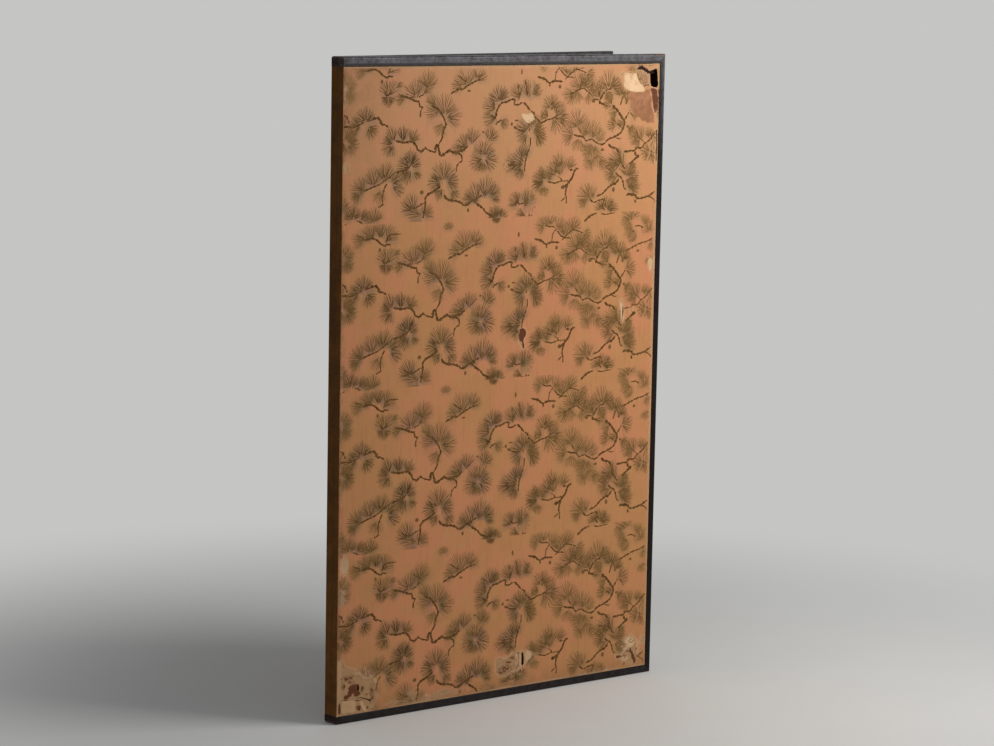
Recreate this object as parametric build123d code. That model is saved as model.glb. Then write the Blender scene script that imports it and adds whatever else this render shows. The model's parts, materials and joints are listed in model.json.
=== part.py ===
from build123d import *
import os

# A two-panel paper folding screen, standing in a narrow V with its fold at the back.
# Millimetres and degrees. +Z is up, the screen stands on Z = 0, its fronts face into the V,
# and the V opens towards -Y.
#
# Each panel is drawn in its own frame before it is placed:
#   u  runs from the fold line to the panel's free side
#   v  runs from the panel's front face to its back face
#   z  runs up from the floor

# Overall
screen_height = 1530.0
panel_width = 950.0          # fold line to the outside of the free side
stance_angle = 9.6           # between the two fronts, as the screen stands
closed_gap = 0.3             # between the two fronts when the screen is folded shut
flat_gap = 0.3               # between the two fold edges when the screen is opened flat

# Lacquered frame
top_rail_height = 22.8
bottom_rail_height = 18.5
side_stile_width = 17.5
frame_proud = 0.65           # how far the lacquer stands above the paper, front and back
shoulder_radius = 5.0        # on the frame's outer arrises
inner_arris_radius = 0.6     # on the arrises beside the paper
frame_corner_radius = 3.0    # softened corners of each panel's outline

# Cedar core
core_depth = 17.6
core_stile_width = 24.0
core_rail_height = 24.0
upright_width = 12.0
upright_count = 5
crossbar_height = 12.0
crossbar_count = 13
tenon_length = 6.0
tenon_depth = 6.0            # front to back
joinery_clearance = 0.1

# Headless pins between the frame and the core
pin_radius = 1.2
pin_clearance = 0.05
pin_in_frame = 9.0
pin_in_core = 13.0
pins_per_rail = 4
pins_per_stile = 6
pin_end_distance = 90.0

# Papers
underpaper_thickness = 1.0   # all the kozo layers of one face together
facing_thickness = 0.3       # the outermost paper or silk
sheet_width = 534.0
sheet_height = 381.0
first_seam_height = 390.0    # lowest seam between printed sheets, above the floor
border_width = 42.0
fold_border_width = 20.0

# Paper hinges
leaf_thickness = 0.3
tab_width = 35.0
bottom_leaf_height = 135.0
top_leaf_height = 268.0
middle_leaf_count = 3

# Faces that the pieces share, from the sizes above
paper_depth = core_depth + 2 * (underpaper_thickness + facing_thickness)
frame_depth = paper_depth + 2 * frame_proud
frame_front = closed_gap / 2
frame_back = frame_front + frame_depth
facing_front = frame_front + frame_proud
under_front = facing_front + facing_thickness
core_front = under_front + underpaper_thickness
core_back = core_front + core_depth
under_back = core_back + underpaper_thickness
facing_back = under_back + facing_thickness
core_middle = (core_front + core_back) / 2

fold_edge = flat_gap / 2
core_fold_side = fold_edge + leaf_thickness
core_free_side = panel_width - side_stile_width
core_bottom = bottom_rail_height
core_top = screen_height - top_rail_height
lattice_fold_side = core_fold_side + core_stile_width
lattice_free_side = core_free_side - core_stile_width
lattice_bottom = core_bottom + core_rail_height
lattice_top = core_top - core_rail_height


def block(u_span, v_span, z_span):
    """A square-cut piece between three pairs of faces."""
    low = [min(span) for span in (u_span, v_span, z_span)]
    size = [abs(span[1] - span[0]) for span in (u_span, v_span, z_span)]
    return Pos(*low) * Box(*size, align=(Align.MIN, Align.MIN, Align.MIN))


def grown(span, amount):
    """A span of two faces, each moved outwards by the amount."""
    return (span[0] - amount, span[1] + amount)


def group(solids):
    """Several separate solids that make one sub-part."""
    return Compound(list(solids))


def even_places(low, high, size, count):
    """Spans of equal pieces that leave equal gaps between two faces."""
    gap = (high - low - count * size) / (count + 1)
    starts = [low + gap + index * (gap + size) for index in range(count)]
    return [(start, start + size) for start in starts]


# ---------------------------------------------------------------- cedar core

upright_places = even_places(lattice_fold_side, lattice_free_side, upright_width, upright_count)
crossbar_places = even_places(lattice_bottom, lattice_top, crossbar_height, crossbar_count)
tenon_faces = (core_middle - tenon_depth / 2, core_middle + tenon_depth / 2)
front_half = (core_front, core_middle)
back_half = (core_middle, core_back)


def crossbar_tenons(places):
    """Both stub tenons of each crossbar."""
    fold_ends = (lattice_fold_side - tenon_length, lattice_fold_side)
    free_ends = (lattice_free_side, lattice_free_side + tenon_length)
    return [block(ends, tenon_faces, place) for place in places for ends in (fold_ends, free_ends)]


def upright_tenons(places):
    """Both stub tenons of each upright."""
    low_ends = (lattice_bottom - tenon_length, lattice_bottom)
    high_ends = (lattice_top, lattice_top + tenon_length)
    return [block(place, tenon_faces, ends) for place in places for ends in (low_ends, high_ends)]


def mortises(tenons):
    """The sockets that a set of tenons needs, a little larger all round."""
    sockets = []
    for tenon in tenons:
        box = tenon.bounding_box()
        u_span = grown((box.min.X, box.max.X), joinery_clearance)
        v_span = grown((box.min.Y, box.max.Y), joinery_clearance)
        z_span = grown((box.min.Z, box.max.Z), joinery_clearance)
        sockets.append(block(u_span, v_span, z_span))
    return sockets


def core_stile(outer, inner):
    """An upright of the core frame: its ends keep only their back half, for the lapped corners."""
    faces = (min(outer, inner), max(outer, inner))
    stile = block(faces, (core_front, core_back), (core_bottom, core_top))
    stile -= block(faces, front_half, (core_bottom, lattice_bottom))
    stile -= block(faces, front_half, (lattice_top, core_top))
    for socket in mortises(crossbar_tenons(crossbar_places)):
        stile -= socket
    return stile


def core_rail(outer, inner):
    """A crosspiece of the core frame: its ends keep only their front half."""
    faces = (min(outer, inner), max(outer, inner))
    rail = block((core_fold_side, core_free_side), (core_front, core_back), faces)
    rail -= block((core_fold_side, lattice_fold_side), back_half, faces)
    rail -= block((lattice_free_side, core_free_side), back_half, faces)
    for socket in mortises(upright_tenons(upright_places)):
        rail -= socket
    return rail


def lattice_uprights():
    """The thin uprights, notched in front where the crossbars lap over them."""
    pieces = []
    for place in upright_places:
        upright = block(place, (core_front, core_back), (lattice_bottom, lattice_top))
        for tenon in upright_tenons([place]):
            upright += tenon
        for crossbar in crossbar_places:
            upright -= block(place, front_half, grown(crossbar, joinery_clearance))
        pieces.append(upright)
    return group(pieces)


def lattice_crossbars():
    """The thin crossbars, notched behind where they lap over the uprights."""
    pieces = []
    for place in crossbar_places:
        crossbar = block((lattice_fold_side, lattice_free_side), (core_front, core_back), place)
        for tenon in crossbar_tenons([place]):
            crossbar += tenon
        for upright in upright_places:
            crossbar -= block(grown(upright, joinery_clearance), back_half, place)
        pieces.append(crossbar)
    return group(pieces)


# ----------------------------------------------------------- lacquered frame

def plate(outline):
    """A flat outline in u and z, as a solid through the whole frame's depth."""
    face = Plane.XZ * make_face(Polyline(*outline, close=True))
    return Pos(0, frame_front, 0) * extrude(face, amount=-frame_depth)


def softened_outline():
    """The whole panel's outline with its corners rounded, through the frame's depth."""
    width = panel_width - core_fold_side
    middle = Pos((core_fold_side + panel_width) / 2, screen_height / 2)
    face = Plane.XZ * middle * RectangleRounded(width, screen_height, frame_corner_radius)
    return Pos(0, frame_front, 0) * extrude(face, amount=-frame_depth)


def rounded_bar(u_span, z_span, along, outer_is_high):
    """A frame bar with round shoulders on its outer arrises and eased ones beside the paper."""
    bar = block(u_span, (frame_front, frame_back), z_span)
    across = Axis.Z if along == Axis.X else Axis.X
    arrises = bar.edges().filter_by(along).group_by(across)
    outer, inner = (arrises[-1], arrises[0]) if outer_is_high else (arrises[0], arrises[-1])
    middles = [edge.center() for edge in inner]
    bar = fillet(outer, shoulder_radius)
    eased = [
        edge for edge in bar.edges().filter_by(along)
        if any((edge.center() - middle).length < inner_arris_radius for middle in middles)
    ]
    return fillet(eased, inner_arris_radius)


def rail_share(outer, inner):
    """The region that a top or bottom rail fills: a square end at the fold, a mitre at the free side."""
    towards_middle = side_stile_width if inner > outer else -side_stile_width
    return plate([
        (core_fold_side, outer),
        (panel_width, outer),
        (core_free_side, outer + towards_middle),
        (core_free_side, inner),
        (core_fold_side, inner),
    ])


bottom_share = rail_share(0, core_bottom)
top_share = rail_share(screen_height, core_top)
panel_outline = softened_outline()


def rail(z_span, share, outer_is_high):
    """A top or bottom rail, mitred at its free end."""
    bar = rounded_bar((core_fold_side, panel_width), z_span, Axis.X, outer_is_high)
    return bar & share & panel_outline


def side_stile():
    """The free side's stile, mitred between the two rails."""
    bar = rounded_bar((core_free_side, panel_width), (0, screen_height), Axis.Z, True)
    return (bar - bottom_share - top_share) & panel_outline


# --------------------------------------------------------------- frame pins

def spread(low, high, count):
    """Evenly spaced places, the first and last a set distance from the ends."""
    first = low + pin_end_distance
    step = (high - pin_end_distance - first) / (count - 1)
    return [first + index * step for index in range(count)]


def pin(u, z, direction, radius, extra):
    """One pin across the joint between frame and core, pointing into the core."""
    length = pin_in_frame + pin_in_core + 2 * extra
    middle = (pin_in_core - pin_in_frame) / 2
    centre = Vector(u, core_middle, z) + Vector(*direction) * middle
    return Plane(origin=centre, z_dir=direction) * Cylinder(radius, length)


def pins(radius, extra):
    """Every pin of one panel."""
    rail_places = spread(core_fold_side, core_free_side, pins_per_rail)
    stile_places = spread(core_bottom, core_top, pins_per_stile)
    pieces = [pin(u, core_bottom, (0, 0, 1), radius, extra) for u in rail_places]
    pieces += [pin(u, core_top, (0, 0, -1), radius, extra) for u in rail_places]
    pieces += [pin(core_free_side, z, (-1, 0, 0), radius, extra) for z in stile_places]
    return pieces


def drilled(piece):
    """A frame or core piece with its pin holes."""
    for hole in pins(pin_radius + pin_clearance, pin_clearance):
        piece -= hole
    return piece


# ------------------------------------------------------------- paper hinges

middle_leaf_height = (core_top - core_bottom - bottom_leaf_height - top_leaf_height) / middle_leaf_count
leaf_heights = [bottom_leaf_height] + [middle_leaf_height] * middle_leaf_count + [top_leaf_height]


def leaf_spans():
    """Heights of the hinge leaves, from the lowest up. Neighbours wrap opposite ways."""
    spans = []
    low = core_bottom
    for height in leaf_heights:
        spans.append((low, low + height))
        low += height
    return spans


def back_tab(span):
    """The end of a leaf that is pasted on this panel's back."""
    return block((core_fold_side, tab_width), (under_back - leaf_thickness, under_back), span)


def front_tab(span):
    """The end of a leaf that is pasted on this panel's front and crosses to the other panel."""
    return block((fold_edge, tab_width), (under_front, under_front + leaf_thickness), span)


def hinge_leaf(span):
    """A leaf over this panel's fold edge and round to its back."""
    over_edge = block((fold_edge, core_fold_side), (under_front, under_back), span)
    return over_edge + back_tab(span)


def edge_strip(span):
    """The strip that covers the fold edge where no leaf lies on it."""
    front = under_front + leaf_thickness
    return block((fold_edge, core_fold_side), (front, under_back), span)


# ------------------------------------------------------------------- papers

def underpaper(v_span, tabs):
    """The pasted layers of one face, thinner where hinge tabs are laid in."""
    paper = block((core_fold_side, core_free_side), v_span, (core_bottom, core_top))
    for tab in tabs:
        paper -= tab
    return paper


def printed_sheets():
    """The printed sheets of the back, laid from the fold, by row from the floor and by column."""
    seams = []
    height = first_seam_height
    while height < core_top:
        seams.append(height)
        height += sheet_height
    levels = [core_bottom] + seams + [core_top]
    sheets = {}
    for row, span in enumerate(zip(levels, levels[1:]), start=1):
        near = fold_edge
        column = 0
        while near < core_free_side:
            far = min(near + sheet_width, core_free_side)
            sheets[f"{row}{'abcdef'[column]}"] = block((near, far), (under_back, facing_back), span)
            near = far
            column += 1
    return sheets


ground_fold_side = fold_edge + fold_border_width
ground_free_side = core_free_side - border_width
ground_bottom = core_bottom + border_width
ground_top = core_top - border_width
front_facing = (facing_front, under_front)


def front_ground():
    """The leaf-covered paper inside the silk border."""
    return block((ground_fold_side, ground_free_side), front_facing, (ground_bottom, ground_top))


def front_border():
    """Silk strips round the ground: the top and bottom ones run right across."""
    across = (fold_edge, core_free_side)
    upright = (ground_bottom, ground_top)
    return {
        "bottom": block(across, front_facing, (core_bottom, ground_bottom)),
        "top": block(across, front_facing, (ground_top, core_top)),
        "fold": block((fold_edge, ground_fold_side), front_facing, upright),
        "free": block((ground_free_side, core_free_side), front_facing, upright),
    }


# ------------------------------------------------------------------- panels

def panel(own_leaf_parity):
    """Every sub-part of one panel, in its own frame. Leaves of one parity lie on this panel's edge."""
    spans = leaf_spans()
    own = [span for index, span in enumerate(spans) if index % 2 == own_leaf_parity]
    other = [span for index, span in enumerate(spans) if index % 2 != own_leaf_parity]
    back_tabs = [back_tab(span) for span in own]
    front_tabs = [front_tab(span) for span in other]
    pieces = {
        "core_fold_stile": core_stile(core_fold_side, lattice_fold_side),
        "core_free_stile": drilled(core_stile(core_free_side, lattice_free_side)),
        "core_bottom_rail": drilled(core_rail(core_bottom, lattice_bottom)),
        "core_top_rail": drilled(core_rail(core_top, lattice_top)),
        "lattice_uprights": lattice_uprights(),
        "lattice_crossbars": lattice_crossbars(),
        "bottom_rail": drilled(rail((0, core_bottom), bottom_share, False)),
        "top_rail": drilled(rail((core_top, screen_height), top_share, True)),
        "side_stile": drilled(side_stile()),
        "frame_pins": group(pins(pin_radius, 0)),
        "back_underpaper": underpaper((core_back, under_back), back_tabs),
        "front_underpaper": underpaper((under_front, core_front), front_tabs),
        "front_ground": front_ground(),
        "hinge_leaves": group(hinge_leaf(span) for span in own),
        "hinge_tabs": group(front_tabs),
        "fold_edge_strips": group(edge_strip(span) for span in other),
    }
    for name, strip in front_border().items():
        pieces[f"front_border_{name}"] = strip
    for name, sheet in printed_sheets().items():
        pieces[f"back_sheet_{name}"] = sheet
    return pieces


def placed(piece, side):
    """A panel's piece turned to its place about the fold line. The left panel is the mirror image."""
    if side == "left":
        return Rot(0, 0, -90 - stance_angle / 2) * mirror(piece, about=Plane.XZ)
    return Rot(0, 0, -90 + stance_angle / 2) * piece


screen = {}
for side, own_leaf_parity in (("left", 1), ("right", 0)):
    for name, piece in panel(own_leaf_parity).items():
        screen[f"{side}_{name}"] = placed(piece, side)

# The fold line goes where the whole screen's box is centred on the origin.
depths = [piece.bounding_box() for piece in screen.values()]
fold_line_y = -(min(box.min.Y for box in depths) + max(box.max.Y for box in depths)) / 2

os.makedirs("parts", exist_ok=True)
for name, piece in screen.items():
    export_step(Pos(0, fold_line_y, 0) * piece, f"parts/{name}.step")

print("sub-parts", len(screen))
print("fold line at Y", round(fold_line_y, 4))
print("hinge range", -stance_angle, "to", 180 - stance_angle)
print("hinge leaf heights", [(round(low, 1), round(high, 1)) for low, high in leaf_spans()])
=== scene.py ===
# A two-panel folding screen of cedar, paper and black lacquer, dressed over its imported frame.
# Blender's unit is the metre. A panel's own points are in millimetres: across from the fold,
# deep from its front to its back, and up from the floor.
import json
import math
import random

import bmesh
import bpy
import numpy as np
from mathutils import Matrix, Vector, geometry, kdtree


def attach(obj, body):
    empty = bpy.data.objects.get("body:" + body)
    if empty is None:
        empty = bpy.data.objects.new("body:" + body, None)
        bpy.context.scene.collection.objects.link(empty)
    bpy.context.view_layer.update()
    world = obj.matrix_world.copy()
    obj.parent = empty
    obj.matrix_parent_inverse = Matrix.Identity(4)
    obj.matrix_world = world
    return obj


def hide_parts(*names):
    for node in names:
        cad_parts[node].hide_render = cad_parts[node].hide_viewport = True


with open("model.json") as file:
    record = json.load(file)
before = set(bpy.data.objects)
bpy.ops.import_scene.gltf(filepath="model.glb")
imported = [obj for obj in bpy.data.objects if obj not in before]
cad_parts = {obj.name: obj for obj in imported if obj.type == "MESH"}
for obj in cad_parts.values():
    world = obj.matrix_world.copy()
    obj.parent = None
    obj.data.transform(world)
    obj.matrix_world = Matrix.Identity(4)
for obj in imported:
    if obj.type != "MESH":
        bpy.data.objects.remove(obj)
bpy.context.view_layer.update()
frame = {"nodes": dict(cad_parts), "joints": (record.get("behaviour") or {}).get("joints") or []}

# ---- Camera ----
# It stands behind the left panel, a little above the top rail, and looks slightly down. A long
# lens keeps the panel's sides nearly upright.
camera_place = Vector((-5.246, 4.817, 1.777))
camera_heading = Vector((0.7346, -0.6785, 0))
camera_pitch = math.radians(-7.99)
camera_roll = math.radians(1.06)
film_width, lens_length = 36, 109.74
camera_data = bpy.data.cameras.new("camera")
camera_data.sensor_width = film_width
camera_data.lens = lens_length
camera = bpy.data.objects.new("camera", camera_data)
forward = camera_heading.normalized() * math.cos(camera_pitch)
forward.z = math.sin(camera_pitch)
level = forward.cross(Vector((0, 0, 1))).normalized()
upright = level.cross(forward)
rightward = level * math.cos(camera_roll) + upright * math.sin(camera_roll)
upward = upright * math.cos(camera_roll) - level * math.sin(camera_roll)
camera_turn = Matrix((rightward, upward, -forward)).transposed().to_4x4()
camera.matrix_world = Matrix.Translation(camera_place) @ camera_turn
bpy.context.scene.collection.objects.link(camera)
bpy.context.scene.camera = camera
bpy.context.scene.view_settings.view_transform = "Standard"


# ---- Floor and light ----
# A plain pale floor runs out into a plain ground of the same tone. One large soft lamp stands
# high on the free side, and even light comes from all round.
def shader_node(material, kind, inputs=None, **settings):
    """Adds one node. Each input is linked where it is given a socket, and set where it is a value."""
    tree = material.node_tree
    node = tree.nodes.new(kind)
    for name, value in settings.items():
        setattr(node, name, value)
    for name, value in (inputs or {}).items():
        if isinstance(value, bpy.types.NodeSocket):
            tree.links.new(value, node.inputs[name])
        else:
            node.inputs[name].default_value = value
    return node


def calculate(material, operation, first, second=0.0, clamp=False):
    node = shader_node(material, "ShaderNodeMath", {0: first, 1: second}, operation=operation)
    node.use_clamp = clamp
    return node.outputs[0]


def ease(material, value, low, high, top=1.0):
    """0 up to low, then smoothly to top at high."""
    ends = {"Value": value, "From Min": low, "From Max": high, "To Max": top}
    node = shader_node(material, "ShaderNodeMapRange", ends, interpolation_type="SMOOTHSTEP")
    return node.outputs[0]


def grain_noise(material, vector, scale, detail=4.0, roughness=0.55):
    inputs = {"Vector": vector, "Scale": scale, "Detail": detail, "Roughness": roughness}
    return shader_node(material, "ShaderNodeTexNoise", inputs).outputs[0]


def two_tones(material, share, first, second):
    """A mix of two colours, or of two colour sockets: the share is the second one's."""
    inputs = {0: share, 6: first, 7: second}
    return shader_node(material, "ShaderNodeMix", inputs, data_type="RGBA").outputs[2]


ground_tone = (0.56, 0.56, 0.55, 1)
floor_tone, floor_cloud_tone = (0.58, 0.575, 0.56, 1), (0.63, 0.625, 0.61, 1)
even_light = (0.93, 0.97, 1.0, 1)
even_strength = 0.28
floor_reach = 30.0
floor_fades = (0.7, 2.4)
floor_gap = 0.0002


def seen_directly(material):
    """1 for what the camera or a reflection sees, and 0 for the light that falls on things."""
    path = shader_node(material, "ShaderNodeLightPath").outputs
    seen = calculate(material, "MAXIMUM", path["Is Camera Ray"], path["Is Glossy Ray"])
    return calculate(material, "MAXIMUM", seen, path["Is Transmission Ray"])


world = bpy.data.worlds.new("studio")
bpy.context.scene.world = world
world.use_nodes = True
world.node_tree.nodes.clear()
lit = shader_node(world, "ShaderNodeBackground", {"Color": even_light, "Strength": even_strength})
shown = shader_node(world, "ShaderNodeBackground", {"Color": ground_tone, "Strength": 1.0})
ways = {0: seen_directly(world), 1: lit.outputs[0], 2: shown.outputs[0]}
either = shader_node(world, "ShaderNodeMixShader", ways)
shader_node(world, "ShaderNodeOutputWorld", {"Surface": either.outputs[0]})

floor_mesh = bpy.data.meshes.new("floor")
corners = [(-floor_reach, -floor_reach, 0), (floor_reach, -floor_reach, 0)]
corners += [(floor_reach, floor_reach, 0), (-floor_reach, floor_reach, 0)]
floor_mesh.from_pydata(corners, [], [(0, 1, 2, 3)])
floor_paint = bpy.data.materials.new("pale_floor")
floor_paint.use_nodes = True
floor_paint.node_tree.nodes.clear()
place = shader_node(floor_paint, "ShaderNodeTexCoord").outputs["Object"]
away = shader_node(floor_paint, "ShaderNodeVectorMath", {0: place}, operation="LENGTH").outputs["Value"]
fading = ease(floor_paint, away, *floor_fades)
fading = calculate(floor_paint, "MULTIPLY", fading, seen_directly(floor_paint))
cement = grain_noise(floor_paint, place, 3.0, 6.0, 0.5)
cement_tone = two_tones(floor_paint, cement, floor_tone, floor_cloud_tone)
laid = shader_node(floor_paint, "ShaderNodeBsdfPrincipled", {"Base Color": cement_tone, "Roughness": 0.75})
beyond = shader_node(floor_paint, "ShaderNodeEmission", {"Color": ground_tone, "Strength": 1.0})
ways = {0: fading, 1: laid.outputs[0], 2: beyond.outputs[0]}
joined = shader_node(floor_paint, "ShaderNodeMixShader", ways)
shader_node(floor_paint, "ShaderNodeOutputMaterial", {"Surface": joined.outputs[0]})
floor_mesh.materials.append(floor_paint)
floor = bpy.data.objects.new("floor", floor_mesh)
floor.location.z = -floor_gap
bpy.context.scene.collection.objects.link(floor)

lamp_place = Vector((-1.75, -1.35, 1.98))
lamp_aim = Vector((0, -0.15, 1.2))
lamp_width, lamp_height = 1.5, 1.0
lamp_watts = 62
lamp_data = bpy.data.lights.new("soft_box", "AREA")
lamp_data.shape = "RECTANGLE"
lamp_data.size = lamp_width
lamp_data.size_y = lamp_height
lamp_data.energy = lamp_watts
lamp_data.color = (1.0, 0.975, 0.94)
lamp = bpy.data.objects.new("soft_box", lamp_data)
lamp.location = lamp_place
lamp.rotation_mode = "QUATERNION"
lamp.rotation_quaternion = (lamp_aim - lamp_place).to_track_quat("-Z", "Y")
lamp.visible_camera = False
bpy.context.scene.collection.objects.link(lamp)

# ---- How the two panels stand ----
# The panels meet on the fold line, front edge to front edge, and stand a few degrees open. A piece
# is made in its panel's own places and then put where the panel stands.
fold_hinge = frame["joints"][0]
fold_line = Vector(fold_hinge["pos_m"])
half_opening = math.radians(-fold_hinge["range_deg"][0]) / 2
mm = 0.001
sides = {"left": -1, "right": 1}
foot = np.array([fold_line.x, fold_line.y, 0])


def panel_axes(side):
    """The panel's across, deep and up directions, one to a row."""
    turn = sides[side] * half_opening
    across = (math.sin(turn), -math.cos(turn), 0)
    deep = (sides[side] * math.cos(turn), sides[side] * math.sin(turn), 0)
    return np.array([across, deep, (0, 0, 1)])


def standing(side, points):
    """The panel's own points, put where the panel stands, in metres."""
    return np.asarray(points, float) * mm @ panel_axes(side) + foot


# ---- Cedar core ----
# The core is a flat frame of planed cedar, half-lapped at the corners. It is seen only down a
# tear by the free top corner, where it has rotted and where painted shade darkens it.
def new_material(name, roughness, specular=0.3):
    material = bpy.data.materials.new(name)
    material.use_nodes = True
    body = material.node_tree.nodes["Principled BSDF"]
    body.inputs["Roughness"].default_value = roughness
    body.inputs["Specular IOR Level"].default_value = specular
    return material, body


def object_place(material, scale=(1, 1, 1)):
    """The point on the object in metres, stretched by scale."""
    where = shader_node(material, "ShaderNodeTexCoord").outputs["Object"]
    return shader_node(material, "ShaderNodeMapping", {"Vector": where, "Scale": scale}).outputs[0]


def surface(material, body, colour, roughness=None, height=None, depth=None):
    """Links what varies over the surface into its shader, its height as bump."""
    links = material.node_tree.links
    links.new(colour, body.inputs["Base Color"])
    if roughness is not None:
        links.new(roughness, body.inputs["Roughness"])
    if height is not None:
        relief = {"Height": height, "Distance": depth, "Strength": 1.0}
        bump = shader_node(material, "ShaderNodeBump", relief)
        links.new(bump.outputs[0], body.inputs["Normal"])


def layered(material, tone, *layers):
    """A tone with others laid over it, each as how much of it shows and what it is."""
    for share, over in layers:
        tone = two_tones(material, share, tone, over)
    return tone


def cedar(name, stretch):
    material, body = new_material(name, 0.7)
    along = object_place(material, stretch)
    rings = grain_noise(material, along, 1.0, 3.0, 0.5)
    pores = grain_noise(material, along, 7.0, 5.0, 0.7)
    straw, honey, umber = (0.50, 0.31, 0.16, 1), (0.36, 0.19, 0.085, 1), (0.17, 0.085, 0.04, 1)
    ringed, pored = ease(material, rings, 0.35, 0.62), ease(material, pores, 0.52, 0.75, 0.55)
    colour = layered(material, straw, (ringed, honey), (pored, umber))
    surface(material, body, colour, ease(material, pores, 0.3, 0.9, 0.85), pores, 0.00015)
    return material


def dress(node, material):
    """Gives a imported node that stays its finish."""
    for held in frame["nodes"][node].material_slots:
        held.material = material


# The grain runs up the stiles and uprights, and across the rails and crossbars.
rings_per_metre, grain_run = 160, 6
cedar_upright = cedar("cedar_upright", (rings_per_metre, rings_per_metre, grain_run))
cedar_level = cedar("cedar_level", (rings_per_metre, grain_run, rings_per_metre))
for side in sides:
    for part in ("core_fold_stile", "core_free_stile"):
        dress(f"{side}_{part}", cedar_upright)
    for part in ("core_bottom_rail", "core_top_rail"):
        dress(f"{side}_{part}", cedar_level)

# By the free corner the left top rail is painted black, as painted shade down the tear.
shade_centre = standing("left", [(884, 20, 1500)])[0]
shade_reach = (0.035, 0.06)
painted_shade_black = (0.012, 0.005, 0.004, 1)
cedar_shaded = cedar_level.copy()
cedar_shaded.name = "cedar_shaded"
cedar_shaded_body = cedar_shaded.node_tree.nodes["Principled BSDF"]
cedar_shaded_body.inputs["Specular IOR Level"].default_value = 0.04
two_places = {0: object_place(cedar_shaded), 1: shade_centre}
from_corner = shader_node(cedar_shaded, "ShaderNodeVectorMath", two_places, operation="DISTANCE")
unshaded_share = ease(cedar_shaded, from_corner.outputs["Value"], *shade_reach)
unshaded_tone = cedar_shaded_body.inputs["Base Color"].links[0].from_socket
surface(cedar_shaded, cedar_shaded_body, two_tones(cedar_shaded, unshaded_share, painted_shade_black, unshaded_tone))
dress("left_core_top_rail", cedar_shaded)

# ---- Cedar lattice ----
# Thin cedar uprights and crossbars, half-lapped on each other and let into the core with stub
# tenons, hold the papers flat.
for side in sides:
    dress(f"{side}_lattice_uprights", cedar_upright)
    dress(f"{side}_lattice_crossbars", cedar_level)


# ---- Underpapers ----
# Layers of old kozo paper are pasted over the core on both faces. The back one shows in the
# tears of the printed sheets, where it is brown and stained, and is itself torn through in places.
tear_step, mesh_step, fine_step, hidden_step = 2.2, 5.0, 1.6, 8.0
rim_width, least_out = 2.0, 3
clear_of_edge, clear_of_tear = 0.6, 0.8
near_enough, well_away = 14.0, 1000.0


def own_points(node):
    """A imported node's corners as its panel's own points."""
    side = node.split("_")[0]
    corners = np.array([v.co for v in frame["nodes"][node].data.vertices])
    return (corners - foot) @ panel_axes(side).T / mm


def own_box(node):
    points = own_points(node)
    return points.min(0), points.max(0)


def ragged(loop, bite, seed, run=tear_step):
    """A torn edge: the loop cut into short runs, each end pulled about by up to bite."""
    pick = random.Random(seed)
    torn = []
    for (a, b), (c, d) in zip(loop, loop[1:] + loop[:1]):
        cuts = max(1, round(math.hypot(c - a, d - b) / run))
        for cut in range(cuts):
            share = cut / cuts
            across = a + (c - a) * share + pick.uniform(-bite, bite)
            torn.append((across, b + (d - b) * share + pick.uniform(-bite, bite)))
    return torn


def torn_all_round(shapes):
    """Torn edges, each from how ragged it is, its seed and its outline."""
    return [ragged(loop, bite, seed) for bite, seed, loop in shapes]


def oval(across, up, half_width, half_height, corners=14):
    turns = [math.tau * corner / corners for corner in range(corners)]
    return [(across + half_width * math.cos(t), up + half_height * math.sin(t)) for t in turns]


def inside(points, loop):
    """Which of the points lie inside the closed loop."""
    points = np.asarray(points, np.float32)
    ends = np.asarray(loop, np.float32)
    starts = np.roll(ends, 1, axis=0)
    found = np.zeros(len(points), bool)
    near = ((points > ends.min(0)) & (points < ends.max(0))).all(1)
    x, y = points[near, 0][:, None], points[near, 1][:, None]
    crossing = (ends[:, 1] > y) != (starts[:, 1] > y)
    rise = starts[:, 1] - ends[:, 1]
    rise = np.where(rise == 0, 1e-9, rise)
    where = ends[:, 0] + (starts[:, 0] - ends[:, 0]) * (y - ends[:, 1]) / rise
    found[near] = (crossing & (x < where)).sum(1) % 2 == 1
    return found


def distance(points, loop):
    """How far each point is from the loop's corners, where one is near enough."""
    points, ends = np.asarray(points, float), np.asarray(loop, float)
    found = np.full(len(points), well_away)
    near = ((points > ends.min(0) - near_enough) & (points < ends.max(0) + near_enough)).all(1)
    gaps = points[near][:, None, :] - ends[None, :, :]
    found[near] = np.sqrt((gaps**2).sum(2)).min(1)
    return found


def grid_over(left, right, bottom, top, step):
    places = np.meshgrid(np.arange(left, right, step), np.arange(bottom, top, step))
    return np.stack(places, -1).reshape(-1, 2)


def widened(loop, width):
    """The loop's points, each moved out from its middle by the width."""
    middle = np.array(loop).mean(0)
    out = np.array(loop) - middle
    return middle + out * (1 + width / np.maximum(np.linalg.norm(out, axis=1), least_out))[:, None]


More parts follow.
